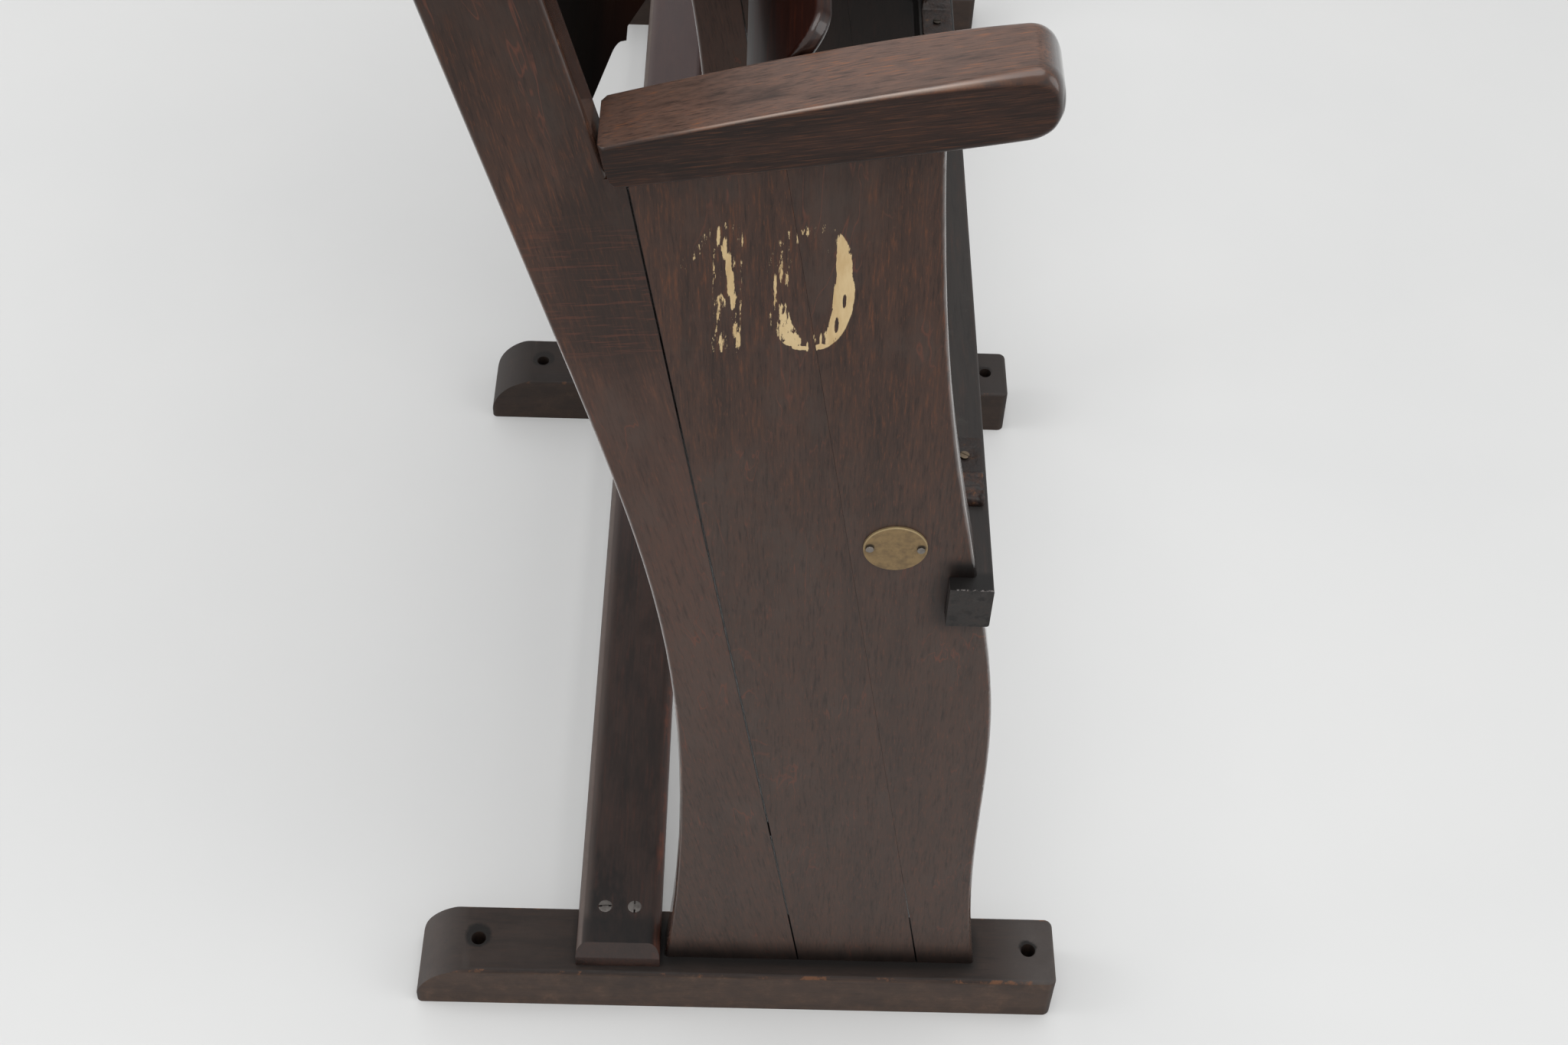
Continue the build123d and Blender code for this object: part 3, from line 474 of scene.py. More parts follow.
footLook = dict(
    deep=(28, 23, 21), brown=(60, 49, 44), warm=(78, 58, 47), rubbed=(108, 85, 70),
    orange=(120, 80, 54), dust=(86, 82, 80), hole=(12, 10, 9),
    roughness=(0.52, 0.68), shine=0.22, coat=0.04, warmth=0.4, scuffed=0.35, bump=0.3,
    seed=75.0, pitch=500, heel=(40, 4), toe=(345, 385),
    # bruised screw holes, with painted shade of a sunk recess round each: forward of each, how far off the
    # middle, and how ragged
    holes=dict(heelHole=39.0, toeHole=377.5), holeOff=2, holeRagged=9,
    grains=woodGrains((620, 60, 620), (60, 8, 60), chips=(60, 21, 6.0, 0.7)),
    coats=[
        *woodCoats,
        # a dull top, dark with dirt and painted shade, dusty ends, scuffed sides and a chipped arris
        ("deep", 1, ("faceUp", 0.7, 0.95), "topDirt"),
        ("dust", 1, "ends", ("faceUp", 0.2, 0.6), "endDust"),
        ("rubbed", 1, ("faceSide", 0.8, 0.98), ("scuff", 0.35, 0.8, 0.12, 0.47)),
        ("orange", 0.6, ("faceSide", 0.2, 0.5), ("faceUp", 0.2, 0.5), ("chips", 0.54, 0.62)),
        # painted shade on the top round the boards
        ("hole", 0.9, ("faceUp", 0.7, 0.95), ("forward", 95, 103), ("forward", 350, 340), ("across", 21, 11)),
        # dark rings round the screw holes, bruised and painted shade of a sunk recess
        ("hole", 0.92, ("heelHole", 9.5, 7.0), ("faceUp", -0.1, 0.1)),
        ("hole", 0.92, ("toeHole", 6.5, 4.0), ("faceUp", -0.1, 0.1)),
        # painted shade on the middle and right feet
        ("deep", 0.5, ("x", -400, -100)),
    ],
)
railLook = dict(
    deep=(18, 14, 13), brown=(54, 39, 34), warm=(84, 48, 37), rubbed=(88, 70, 62),
    grease=(11, 9, 9), pale=(104, 94, 89), bevel=(56, 50, 48), red=(116, 60, 40),
    far=(92, 78, 78),
    roughness=(0.42, 0.58), shine=0.22, coat=0.08, warmth=0.5, scuffed=0.2, bump=0.22,
    seed=90.0, sheenBand=(10, 2), topFaces=(0.8, 0.97),
    grains=woodGrains((40, 620, 620), (9, 70, 70), grime=((22, 55, 55), 17, 6.0, 0.68)),
    coats=[
        *woodCoats,
        # a top darkened by grease and as painted shade under the bench, blackest at the near end, and a painted
        # sheen on the rear arris
        ("deep", 0.35, "top"),
        ("grease", 0.85, "top", ("x", -400, -490, 0.4), ("grime", 0.44, 0.62)),
        ("pale", 1, "rearPale"),
        ("red", 0.6, ("fromFront", 6, 1.5), ("faceUp", 0.2, 0.5), ("grime", 0.46, 0.6)),
        ("grease", 0.7, ("x", -487, -497), "top"),
        ("far", 0.45, ("x", -250, 0), "top"),
        # a reddish front side and a pale bevel at the end
        ("warm", 0.4, ("faceFront", 0.6, 0.95)),
        ("bevel", 1, ("faceNear", 0.3, 0.6), ("faceUp", 0.3, 0.6), "bevelRub"),
    ],
)
barLook = dict(
    deep=(26, 23, 22), brown=(45, 41, 39), warm=(66, 49, 42), rubbed=(92, 88, 84),
    grease=(13, 11, 10), chipped=(130, 124, 122),
    roughness=(0.46, 0.60), shine=0.24, coat=0.05, warmth=0.45, scuffed=0.2, bump=0.25,
    seed=105.0,
    grains=woodGrains((40, 520, 520), (9, 60, 60), blots=(150, 27, 5.0, 0.66),
                         chips=(420, 21, 4.0, 0.62)),
    coats=[
        *woodCoats,
        # black grease and painted shade on top of the end that stands out of the notch, near black further
        # along the bar, and a chipped arris round that end
        ("grease", 0.95, ("fromEnd", 13, 9), ("faceUp", 0.5, 0.9)),
        ("grease", 0.85, ("x", -280, -60)),
        ("grease", 0.7, ("faceNear", 0.8, 0.95), ("blots", 0.5, 0.66)),
        ("chipped", 0.7, ("fromArris", 0.8, 0.2), ("chips", 0.5, 0.58)),
    ],
)
battenLook = dict(
    deep=(40, 27, 20), brown=(78, 54, 40), warm=(106, 70, 46), rubbed=(124, 90, 64),
    roughness=(0.45, 0.58), shine=0.25, coat=0.1, warmth=0.5, scuffed=0.3, bump=0.2,
    seed=120.0, grains=woodGrains((700, 700, 60), (55, 55, 6)), coats=woodCoats,
)
dowelLook = dict(battenLook, seed=135.0, coat=0.0, grains=woodGrains((60, 700, 700), (6, 55, 55)))


def plainWood(name, look, worn=None):
    finish = Finish(name, look, **polish)
    streak, band, scuff = (finish.masks[key] for key in ("streak", "band", "scuff"))
    low, high = look["roughness"]
    rough = band * (high - low) + low + (streak - 0.5) * 0.12
    coat = look["coat"] - scuff.rise(0.45, 0.75) * look["coat"] * 0.7
    if worn:
        rough, coat = worn(finish, scuff, rough, coat)
    finish.layCoats("brown")
    return finish.close(rough, streak * 0.6 + scuff * 0.4, look["bump"], **{"Coat Weight": coat})


def armWear(finish, scuff, rough, coat):
    # the nose is glossy, the sides and the rear end are dull
    look, masks, forward = finish.look, finish.masks, finish.forward
    nose, rear = forward.rise(*look["nose"]), forward.rise(*look["rear"])
    front = nose * masks["faceFront"].rise(0.0, 0.85)
    side = masks["faceSide"].rise(*look["sideFaces"])
    arris = masks["faceSide"].rise(0.25, 0.55) * finish.faceZ.rise(0.2, 0.5)
    masks.update({
        "top": finish.faceZ.rise(*look["topFaces"]), "side": side, "rear": rear, "arris": arris,
        # the top is rubbed and also lighter as painted sheen; the rear end is darker
        "topRub": scuff * 0.6 + 0.2 - nose * 0.15, "dirt": (scuff * 0.7 + 0.3).lower(1),
        "fromArris": abs(masks["faceSide"] - look["arrisMiddle"]), "glintPores": masks["pores"] * 0.5 + 0.45,
        # painted shade on the front of the nose and over its arrises
        "noseDark": (front * 0.75).upper(arris * forward.rise(268, 306) * 0.6),
    })
    gloss = (arris * 0.5).upper(front)
    return rough - front * 0.16 + rear * 0.1, (coat * (1 - side * 0.8) + gloss) * (1 - rear * 0.5)


def footWear(finish, scuff, rough, coat):
    look, masks, forward, x = finish.look, finish.masks, finish.forward, finish.masks["x"]
    across = x - (x / look["pitch"]).rounded() * look["pitch"]  # from the middle of each foot
    for hole, ahead in look["holes"].items():
        away = ((across - look["holeOff"]) ** 2 + (forward - ahead) ** 2) ** 0.5
        masks[hole] = away + (scuff - 0.5) * look["holeRagged"]
    masks.update({
        "across": abs(across), "ends": forward.rise(*look["heel"]).upper(forward.rise(*look["toe"])),
        "topDirt": scuff * 0.6 + 0.22, "endDust": scuff * 0.6 + 0.15,
    })
    return rough + scuff * 0.1, coat


def railWear(finish, scuff, rough, coat):
    look, grime = finish.look, finish.masks["grime"]
    frontY, rearY = (corner[1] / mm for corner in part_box("floor_rail"))
    rearArris = finish.faceY.rise(0.25, 0.6) * finish.faceZ.rise(0.15, 0.5)
    top = finish.faceZ.rise(*look["topFaces"])
    # a painted sheen along the rear arris and on a band of the top beside it
    sheenBand = (rearY - finish.y / mm).rise(*look["sheenBand"]) * top
    finish.masks.update({
        "top": top, "rearPale": (sheenBand * (grime * 0.6 + 0.1)).upper(rearArris * (scuff * 0.6 + 0.3)),
        "fromFront": finish.y / mm - frontY, "bevelRub": scuff * 0.5 + 0.4,
    })
    return rough + grime * 0.1, coat


def barWear(finish, scuff, rough, coat):
    low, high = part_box("front_bar")
    fromEnd = (finish.x - low[0]) / mm
    finish.masks.update({"fromEnd": fromEnd, "fromArris": fromEnd.upper((high[2] - finish.z) / mm)})
    return rough, coat


armWood = plainWood("armBeech", armLook, armWear)
footWood = plainWood("footBeech", footLook, footWear)
railWood = plainWood("railBeech", railLook, railWear)
barWood = plainWood("barBlacked", barLook, barWear)
battenWood = plainWood("battenBeech", battenLook)
dowelWood = plainWood("dowelBeech", dowelLook)
print("plain woods made")


# Varnished plywood of the seats and backs

plyLook = dict(
    # counts per metre along X, Y and Z (one where even), seed, detail, roughness, warp
    grains=dict(
        streak=((30, 700, 700), 0, 4.0, 0.6), flame=((3, 26, 26), 2, 4.0, 0.6, 1.2),
        scuff=(90, 5, 6.0, 0.7),
    ),
    coats=[
        ("veneer", 1, ("flame", 0.35, 0.66)),
        ("glow", 0.5, ("streak", 0.5, 0.78)),
        ("dark", 0.6, ("streak", 0.42, 0.2)),
        # painted shade: blackest beside the near standard, browner further in
        ("inner", "innerMix", ("x", -450, -300), ("flame", 0.2, 0.6)),
    ],
    thick=8.0, layers=5, layerSeen=0.55, bump=0.08,
)
seatPlyLook = dict(
    plyLook,
    veneer=(38, 16, 11), dark=(16, 8, 6), glow=(80, 36, 21), inner=(46, 20, 14),
    layerLight=(48, 31, 23), layerDark=(20, 12, 9), innerMix=0.3, seed=150.0,
    roughness=0.46, shine=0.12, coat=0.04, edgeCoat=0.8,
    faceForward=190.5, lipRadius=120.0, lipStart=712.51 - 120.0 * math.sin(math.radians(40.0)),
)
backPlyLook = dict(
    plyLook,
    # the back's near-black colours are painted shade; further in they turn towards the inner brown
    veneer=(16, 11, 9), dark=(8, 7, 6), glow=(26, 16, 12), inner=(44, 23, 16),
    layerLight=(44, 31, 24), layerDark=(18, 13, 10), innerMix=0.75, seed=165.0,
    roughness=0.55, shine=0.03, coat=0.0, edgeCoat=0.1,
    tilt=14.4, faceForward=110.6 + (47.5 - 8.0) / math.cos(math.radians(14.4)), faceHeight=568.0,
)


def plywood(name, look, depth):
    # depth gives how far inside the sheet a point lies, in mm
    finish = Finish(name, look, **varnish)
    streak, flame, scuff = (finish.masks[key] for key in look["grains"])
    finish.layCoats("dark")
    # the layers show on the edges of the sheet
    inside = depth(finish, look)
    step = look["thick"] / look["layers"]
    wave = finish.add("ShaderNodeMath", {"operation": "PINGPONG"}, {0: inside, 1: step})
    layers = finish.mix(wave.rise(step * 0.4, step * 0.6), look["layerDark"], look["layerLight"])
    layers = finish.mix(scuff.rise(0.3, 0.7) * 0.75, layers, look["dark"])
    onEdge = inside.within(0.8, look["thick"] - 0.8, 0.4)
    finish.colour = finish.mix(onEdge * look["layerSeen"], finish.colour, layers)
    glossy = finish.masks["faceSide"].rise(0.15, 0.5)
    rough = streak * 0.1 + onEdge * 0.15 + look["roughness"] - glossy * 0.15
    coat = glossy * look["edgeCoat"] + look["coat"]
    return finish.close(rough, streak * 0.5 + flame * 0.5, look["bump"], **{"Coat Weight": coat})


def seatDepth(finish, look):
    flat = finish.forward - look["faceForward"]
    along = flat - look["lipRadius"]
    up = (finish.height - look["lipStart"]).upper(0)
    bent = look["lipRadius"] - (along ** 2 + up ** 2) ** 0.5
    onLip = finish.height.rise(look["lipStart"] - 0.01, look["lipStart"] + 0.01)
    return flat * (1 - onLip) + bent * onLip


def backDepth(finish, look):
    tilt = math.radians(look["tilt"])
    up = finish.height - look["faceHeight"]
    return (look["faceForward"] - finish.forward) * math.cos(tilt) - up * math.sin(tilt)


seatPly = plywood("seatPly", seatPlyLook, seatDepth)
backPly = plywood("backPly", backPlyLook, backDepth)
print("plywood made")


# Metal and leather

metalLook = dict(
    grains=dict(patch=(180, 0, 6.0, 0.65), fine=(520, 2, 4.0, 0.62)),
    coats=[("dull", "tarnish", ("patch", 0.4, 0.66)), ("spot", 0.5, ("fine", 0.55, 0.72))],
    shine=0.5, tarnish=0.6, bump=0.2, bumpDistance=0.0004,
)
steelLook = dict(
    metalLook,
    bright=(96, 92, 89), dull=(66, 61, 58), spot=(50, 42, 37),
    rust=(104, 88, 66), black=(24, 20, 18),
    roughness=(0.40, 0.60), metallic=0.7, tarnish=0.7, seed=180.0,
    # brown with rust behind the near standard, and near black further in as painted shade
    coats=[*metalLook["coats"], ("rust", 0.7, ("x", -470, -440)), ("black", 0.85, ("x", -420, -300))],
)
ironLook = dict(
    metalLook,
    bright=(66, 62, 59), dull=(42, 39, 37), spot=(84, 58, 42),
    roughness=(0.45, 0.70), metallic=0.75, seed=190.0,
)
brassLook = dict(
    metalLook,
    bright=(139, 116, 81), dull=(90, 72, 50), spot=(82, 64, 45),
    rim=(176, 156, 118), hollow=(22, 17, 13),
    roughness=(0.40, 0.58), metallic=0.65, seed=200.0,
    # forward and height of the disc's middle, and the painted shade of the hollow over each pin
    middle=(267.2, 433.6), pinOff=12.3, hollowUp=1.5, hollowHalf=(2.3, 2.4),
    coats=[
        *metalLook["coats"],
        ("rim", 0.7, ("fromMiddle", 14.6, 15.2), ("aboveMiddle", -6, 8)),
        ("hollow", 0.85, ("fromPin", 1.3, 0.4)),
    ],
)
pinLook = dict(
    metalLook,
    bright=(126, 120, 114), dull=(70, 64, 58), spot=(34, 29, 26),
    roughness=(0.22, 0.40), metallic=0.9, seed=210.0,
)
leatherLook = dict(
    deep=(24, 16, 13), brown=(60, 38, 28), tan=(140, 96, 54),
    shine=0.35, seed=220.0, pebble=700.0, grains=dict(crease=(230, 0, 5.0, 0.65)),
    coats=[
        ("brown", 1, ("crease", 0.38, 0.62)),
        ("deep", 0.5, ("pebble", 0.35, 0.1)),
        ("tan", 0.7, ("crease", 0.58, 0.7)),
        # painted shade: the bumpers are darker from just inside the near standard on
        ("deep", 0.75, ("x", -447, -441)),
    ],
    bump=0.5, bumpDistance=0.0008,
)


def metal(name, look, marked=None):
    finish = Finish(name, look)
    patch, fine = (finish.masks[key] for key in look["grains"])
    if marked:
        marked(finish, look)
    finish.layCoats("bright")
    low, high = look["roughness"]
    metallic = look["metallic"] - patch.rise(0.45, 0.7) * 0.35 * look["metallic"]
    rough = patch * (high - low) + low
    return finish.close(rough, patch * 0.6 + fine * 0.4, look["bump"], look["bumpDistance"], Metallic=metallic)


def discMarks(finish, look):
    # a painted highlight on the upper rim, and painted shade in the hollow over each pin
    along, up = finish.forward - look["middle"][0], finish.height - look["middle"][1]
    halfAlong, halfUp = look["hollowHalf"]
    fromPin = ((abs(along) - look["pinOff"]) / halfAlong) ** 2 + ((up - look["hollowUp"]) / halfUp) ** 2
    finish.masks.update({"fromMiddle": (along ** 2 + up ** 2) ** 0.5, "aboveMiddle": up, "fromPin": fromPin})


def leather(name, look):
    finish = Finish(name, look)
    pebble, crease = finish.cells(look["pebble"]), finish.masks["crease"]
    finish.masks["pebble"] = pebble
    finish.layCoats("deep")
    return finish.close(crease * 0.25 + 0.42, pebble * 0.4 + crease * 0.6, look["bump"], look["bumpDistance"])


screwSteel = metal("screwSteel", steelLook)
pivotIron = metal("pivotIron", ironLook)
discBrass = metal("discBrass", brassLook, discMarks)
pinSteel = metal("pinSteel", pinLook)
bumperLeather = leather("bumperLeather", leatherLook)
print("finishes made:", len(bpy.data.materials))


# Geometry nodes

def geometrySheet(name, inputs):
    tree = bpy.data.node_groups.new(name, "GeometryNodeTree")
    for label, kind in [("Geometry", "NodeSocketGeometry"), *inputs]:
        tree.interface.new_socket(label, in_out="INPUT", socket_type=kind)
    tree.interface.new_socket("Geometry", in_out="OUTPUT", socket_type="NodeSocketGeometry")
    return Sheet(tree)


def runTree(piece, sheet, values):
    modifier = piece.modifiers.new(sheet.tree.name, "NODES")
    modifier.node_group = sheet.tree
    for item in sheet.tree.interface.items_tree:
        if item.in_out == "INPUT" and item.name in values:
            modifier[item.identifier] = values[item.name]
    return modifier


# Smooth rounds on the pieces of the frame

smoothing = {"Merge": 0.000002, "Crease Angle": math.radians(32)}


def smoothingSheet():
    sheet = geometrySheet("softRounds", [(label, "NodeSocketFloat") for label in smoothing])
    start = sheet.add("NodeGroupInput")
    whole = sheet.add("GeometryNodeMergeByDistance", {}, {0: start, "Distance": start.also("Merge")})
    whole = sheet.add("GeometryNodeSetShadeSmooth", {"domain": "FACE"}, {0: whole, "Shade Smooth": True})
    bend = sheet.add("GeometryNodeInputMeshEdgeAngle")
    bends = {0: bend, 1: start.also("Crease Angle")}
    gentle = sheet.add("FunctionNodeCompare", {"operation": "LESS_THAN"}, bends)
    whole = sheet.add("GeometryNodeSetShadeSmooth", {"domain": "EDGE"}, {0: whole, "Shade Smooth": gentle})
    sheet.add("NodeGroupOutput", {}, {0: whole}, out=None)
    return sheet


softRounds = smoothingSheet()


def dress(node, material):
    piece = nodes[node]
    piece.data.materials.clear()
    piece.data.materials.append(material)
    runTree(piece, softRounds, smoothing)
    piece.modifiers.new("evenNormals", "WEIGHTED_NORMAL").keep_sharp = True


for side in ("left", "middle", "right"):
    for board in ("post_board", "centre_board", "front_board"):
        dress(f"{side}_{board}", boardFinishes.get(f"{side}_{board}", boardFinishes[board]))
    dress(f"{side}_foot", footWood)
for side in ("left", "right"):
    dress(f"{side}_back_panel", backPly)
    dress(f"{side}_seat_panel", seatPly)
    dress(f"{side}_seat_battens", battenWood)
    dress(f"{side}_seat_stops", dowelWood)
    for iron in ("seat_brackets", "seat_pins", "seat_bearings"):
        dress(f"{side}_{iron}", pivotIron)
for dowels in ("board_dowels", "armrest_dowels"):
    dress(dowels, dowelWood)
dress("floor_rail", railWood)
dress("front_bar", barWood)
dress("number_disc", discBrass)
dress("disc_pins", pinSteel)
dress("foot_screws", screwSteel)
print("frame dressed")


# Pieces made here

def linked(name, data):
    thing = bpy.data.objects.new(name, data)
    bpy.context.scene.collection.objects.link(thing)
    return thing


def newPiece(name, mesh, body, replaced):
    piece = linked(name, mesh)
    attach(piece, body)
    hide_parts(*replaced)


def skin(work, rings):
    # faces between closed rings of points, and over both ends
    for first, second in zip(rings, rings[1:]):
        for here in range(len(first)):
            after = (here + 1) % len(first)
            work.faces.new((first[here], first[after], second[after], second[here]))
    work.faces.new(rings[0])
    work.faces.new(rings[-1])


def smoothMesh(work, name, material):
    bmesh.ops.recalc_face_normals(work, faces=work.faces)
    mesh = bpy.data.meshes.new(name)
    work.to_mesh(mesh)
    work.free()
    mesh.shade_smooth()
    mesh.materials.append(material)
    return mesh


def solidsOf(node):
    # the solids of a node, each as its list of points
    work = bmesh.new()
    work.from_mesh(nodes[node].data)
    bmesh.ops.remove_doubles(work, verts=work.verts, dist=smoothing["Merge"])
    solids = []
    for first in work.verts:
        if first.tag:
            continue
        first.tag = True
        found = [first]
        for vert in found:
            for edge in vert.link_edges:
                other = edge.other_vert(vert)
                if not other.tag:
                    other.tag = True
                    found.append(other)
        solids.append([vert.co.copy() for vert in found])
    work.free()
    return solids


# Slotted screws

screwLook = {
    "sizes": {"Head Radius": 4.2, "Head Depth": 2.6, "Shank Radius": 2.0, "Dome": 0.5, "Slot Width": 1.1,
              "Slot Depth": 1.0},
    "headSides": 40, "domeRings": 24, "shankSides": 20, "tipShare": 0.3, "domeShare": 0.999, "seed": 5,
    "smallHeads": {"left_bumper_screws": 0.6, "right_bumper_screws": 0.6},
    # the screws of each body, with the axis that they lie along
    "frame": {"floor_rail_screws": 2, "front_bar_screws": 1, "bearing_screws": 0,
              "left_bumper_screws": 2, "right_bumper_screws": 2},
    "left_seat": {"left_batten_screws": 1, "left_bracket_screws": 1},
    "right_seat": {"right_batten_screws": 1, "right_bracket_screws": 1},
}


def screwPlaces(node, axis):
    # the middle of each head, the way it faces, the screw's length and the share of the full head
    places = []
    flat = Vector([i != axis for i in range(3)])
    for points in solidsOf(node):
        middle = Vector([(min(p[i] for p in points) + max(p[i] for p in points)) / 2 for i in range(3)])
        low, high = (pick(p[axis] for p in points) for pick in (min, max))

        def spread(end):
            return max(((p - middle) * flat).length for p in points if abs(p[axis] - end) < 0.1 * mm)

        faceUp = spread(high) > spread(low)
        middle[axis] = high if faceUp else low
        facing = Vector([0, 0, 0])
        facing[axis] = 1 if faceUp else -1
        places.append((middle, facing, high - low, screwLook["smallHeads"].get(node, 1)))
    return places


def screwSheet():
    labels = [(label, "NodeSocketFloat") for label in screwLook["sizes"]]
    sheet = geometrySheet("slottedScrews", [*labels, ("Seed", "NodeSocketInt")])
    start = sheet.add("NodeGroupInput")
    head, depth, shank, dome, slotWide, slotDeep = (start.also(label) for label in screwLook["sizes"])

    def triple(x, y, z):
        return sheet.add("ShaderNodeCombineXYZ", {}, {"X": x, "Y": y, "Z": z})

    def cone(sides, top, base, tall):
        sizes = {"Vertices": sides, "Radius Top": top, "Radius Bottom": base, "Depth": tall}
        return sheet.add("GeometryNodeMeshCone", {}, sizes)

    def moved(piece, shift, size=(1, 1, 1)):
        return sheet.add("GeometryNodeTransform", {}, {"Geometry": piece, "Translation": shift, "Scale": size})

    def cut(operation, meshes):
        return sheet.add("GeometryNodeMeshBoolean", {"operation": operation, "solver": "EXACT"}, meshes)

    def stored(name, kind):
        return sheet.add("GeometryNodeInputNamedAttribute", {"data_type": kind}, {"Name": name})

    funnel = moved(cone(screwLook["headSides"], head, shank, depth), triple(0, 0, depth * -1))
    ball = {"Segments": screwLook["headSides"], "Rings": screwLook["domeRings"], "Radius": head}
    cap = sheet.add("GeometryNodeMeshUVSphere", {}, ball)
    cap = moved(cap, (0, 0, 0), triple(screwLook["domeShare"], screwLook["domeShare"], dome / head))
    slot = sheet.add("GeometryNodeMeshCube", {}, {"Size": triple(head * 3, slotWide, slotDeep * 2)})
    slot = moved(slot, triple(0, 0, dome))
    body = cut("DIFFERENCE", {"Mesh 1": cut("UNION", {"Mesh 2": [funnel, cap]}), "Mesh 2": slot})
    point = moved(cone(screwLook["shankSides"], shank, shank * screwLook["tipShare"], 1.0), (0, 0, -1))
    chance = {2: 0.0, 3: math.pi, "Seed": start.also("Seed")}
    spin = sheet.add("FunctionNodeRandomValue", {"data_type": "FLOAT"}, chance, out=1)
    facing = stored("facing", "FLOAT_VECTOR")
    turn = sheet.add("FunctionNodeAlignRotationToVector", {"axis": "Z"}, {"Vector": facing})
    spun = sheet.add("FunctionNodeEulerToRotation", {}, {0: triple(0, 0, spin)})
    turns = {"Rotation": turn, "Rotate By": spun}
    turn = sheet.add("FunctionNodeRotateRotation", {"rotation_space": "LOCAL"}, turns)

    def placed(piece, size):
        sockets = {"Points": start, "Instance": piece, "Rotation": turn, "Scale": size}
        return sheet.add("GeometryNodeInstanceOnPoints", {}, sockets)

    headSize = stored("headSize", "FLOAT")
    heads = placed(body, triple(headSize, headSize, headSize))
    shanks = placed(point, triple(1, 1, stored("reach", "FLOAT")))
    whole = sheet.add("GeometryNodeJoinGeometry", {}, {0: [heads, shanks]})
    whole = sheet.add("GeometryNodeRealizeInstances", {}, {0: whole})
    whole = sheet.add("GeometryNodeSetMaterial", {}, {0: whole, "Material": screwSteel})
    sheet.add("NodeGroupOutput", {}, {0: whole}, out=None)
    return sheet


slottedScrews = screwSheet()


def makeScrews(body, groups):
    places = [place for node, axis in groups.items() for place in screwPlaces(node, axis)]
    middles, facings, reaches, headSizes = zip(*places)
    points = bpy.data.meshes.new(f"{body}ScrewPoints")
    points.from_pydata(middles, [], [])
    facing = points.attributes.new("facing", "FLOAT_VECTOR", "POINT")
    facing.data.foreach_set("vector", [part for way in facings for part in way])
    for label, values in (("reach", reaches), ("headSize", headSizes)):
        points.attributes.new(label, "FLOAT", "POINT").data.foreach_set("value", values)
    maker = linked(f"{body}ScrewMaker", points)
    sizes = {label: size * mm for label, size in screwLook["sizes"].items()}
    modifier = runTree(maker, slottedScrews, {**sizes, "Seed": screwLook["seed"]})
    made = bpy.data.meshes.new_from_object(maker.evaluated_get(bpy.context.evaluated_depsgraph_get()))
    maker.modifiers.remove(modifier)
    bpy.data.objects.remove(maker)
    newPiece(f"{body}_slotted_screws", made, body, list(groups))
    print(body, "screws:", len(places), "faces:", len(made.polygons))


for body in ("frame", "left_seat", "right_seat"):
    makeScrews(body, screwLook[body])


# Armrests with worn, rounded arrises

armShape = dict(
    topRound=(1.8, 9.0), baseRound=(1.5, 6.0), roundPower=5.0, stations=150, crowding=1.9,
    arc=9, support=0.7, probe=9.0, endGap=0.15, endRound=1.2, endTuck=0.4,
    # wider and thicker towards the nose
    widen=1.6, thicken=0.13, thickenPower=1.2, sharpAngle=50,
    # the most that a round may take of the half width, and of the height at the top and at the base
    roundShares=(0.95, 0.55, 0.4), supportShare=0.02,
)


def armOutline(node):
    # base, top and half width of the CAD armrest at places from its rear end to its nose, in metres
    look = armShape
    low, high = (Vector(corner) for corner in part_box(node))
    middle = (low.x + high.x) / 2
    work = bmesh.new()
    work.from_mesh(nodes[node].data)
    tree = BVHTree.FromBMesh(work)
    work.free()
    rearY, noseY = high.y - look["endGap"] * mm, low.y + look["endGap"] * mm
    x, clear = middle - look["probe"] * mm, 0.1
    outline = []
    for station in range(look["stations"] + 1):
        y = rearY + (noseY - rearY) * (1 - (1 - station / look["stations"]) ** look["crowding"])
        top = tree.ray_cast(Vector((x, y, high.z + clear)), Vector((0, 0, -1)))[0]
        base = tree.ray_cast(Vector((x, y, low.z - clear)), Vector((0, 0, 1)))[0]
        if top is None or base is None:
            continue
        side = tree.ray_cast(Vector((low.x - clear, y, (top.z + base.z) / 2)), Vector((1, 0, 0)))[0]
        outline.append((y, base.z, top.z, middle - side.x))
    return middle, outline


def armRing(half, base, top, topRound, baseRound):
    # points round one cross-section, in metres from the middle of the armrest
    look, tall = armShape, top - base
    halfShare, topShare, baseShare = look["roundShares"]
    roundTop = min(topRound, half * halfShare, tall * topShare)
    roundBase = min(baseRound, half * halfShare, tall * baseShare)
    step = min(look["support"] * mm, tall * look["supportShare"], half * look["supportShare"])
    corners = [(-1, 1, roundTop, 180), (1, 1, roundTop, 90), (1, -1, roundBase, 0), (-1, -1, roundBase, -90)]
    ring = []
    for sideways, upward, reach, first in corners:
        cornerX, cornerZ = sideways * (half - reach), (top - reach if upward > 0 else base + reach)
        arc = []
        for count in range(look["arc"] + 1):
            turn = math.radians(first - 90 * count / look["arc"])
            arc.append((cornerX + reach * math.cos(turn), cornerZ + reach * math.sin(turn)))
        start, end = math.radians(first), math.radians(first - 90)
        before = (arc[0][0] - step * math.sin(start), arc[0][1] + step * math.cos(start))
        after = (arc[-1][0] + step * math.sin(end), arc[-1][1] - step * math.cos(end))
        ring += [before, *arc, after]
    return ring


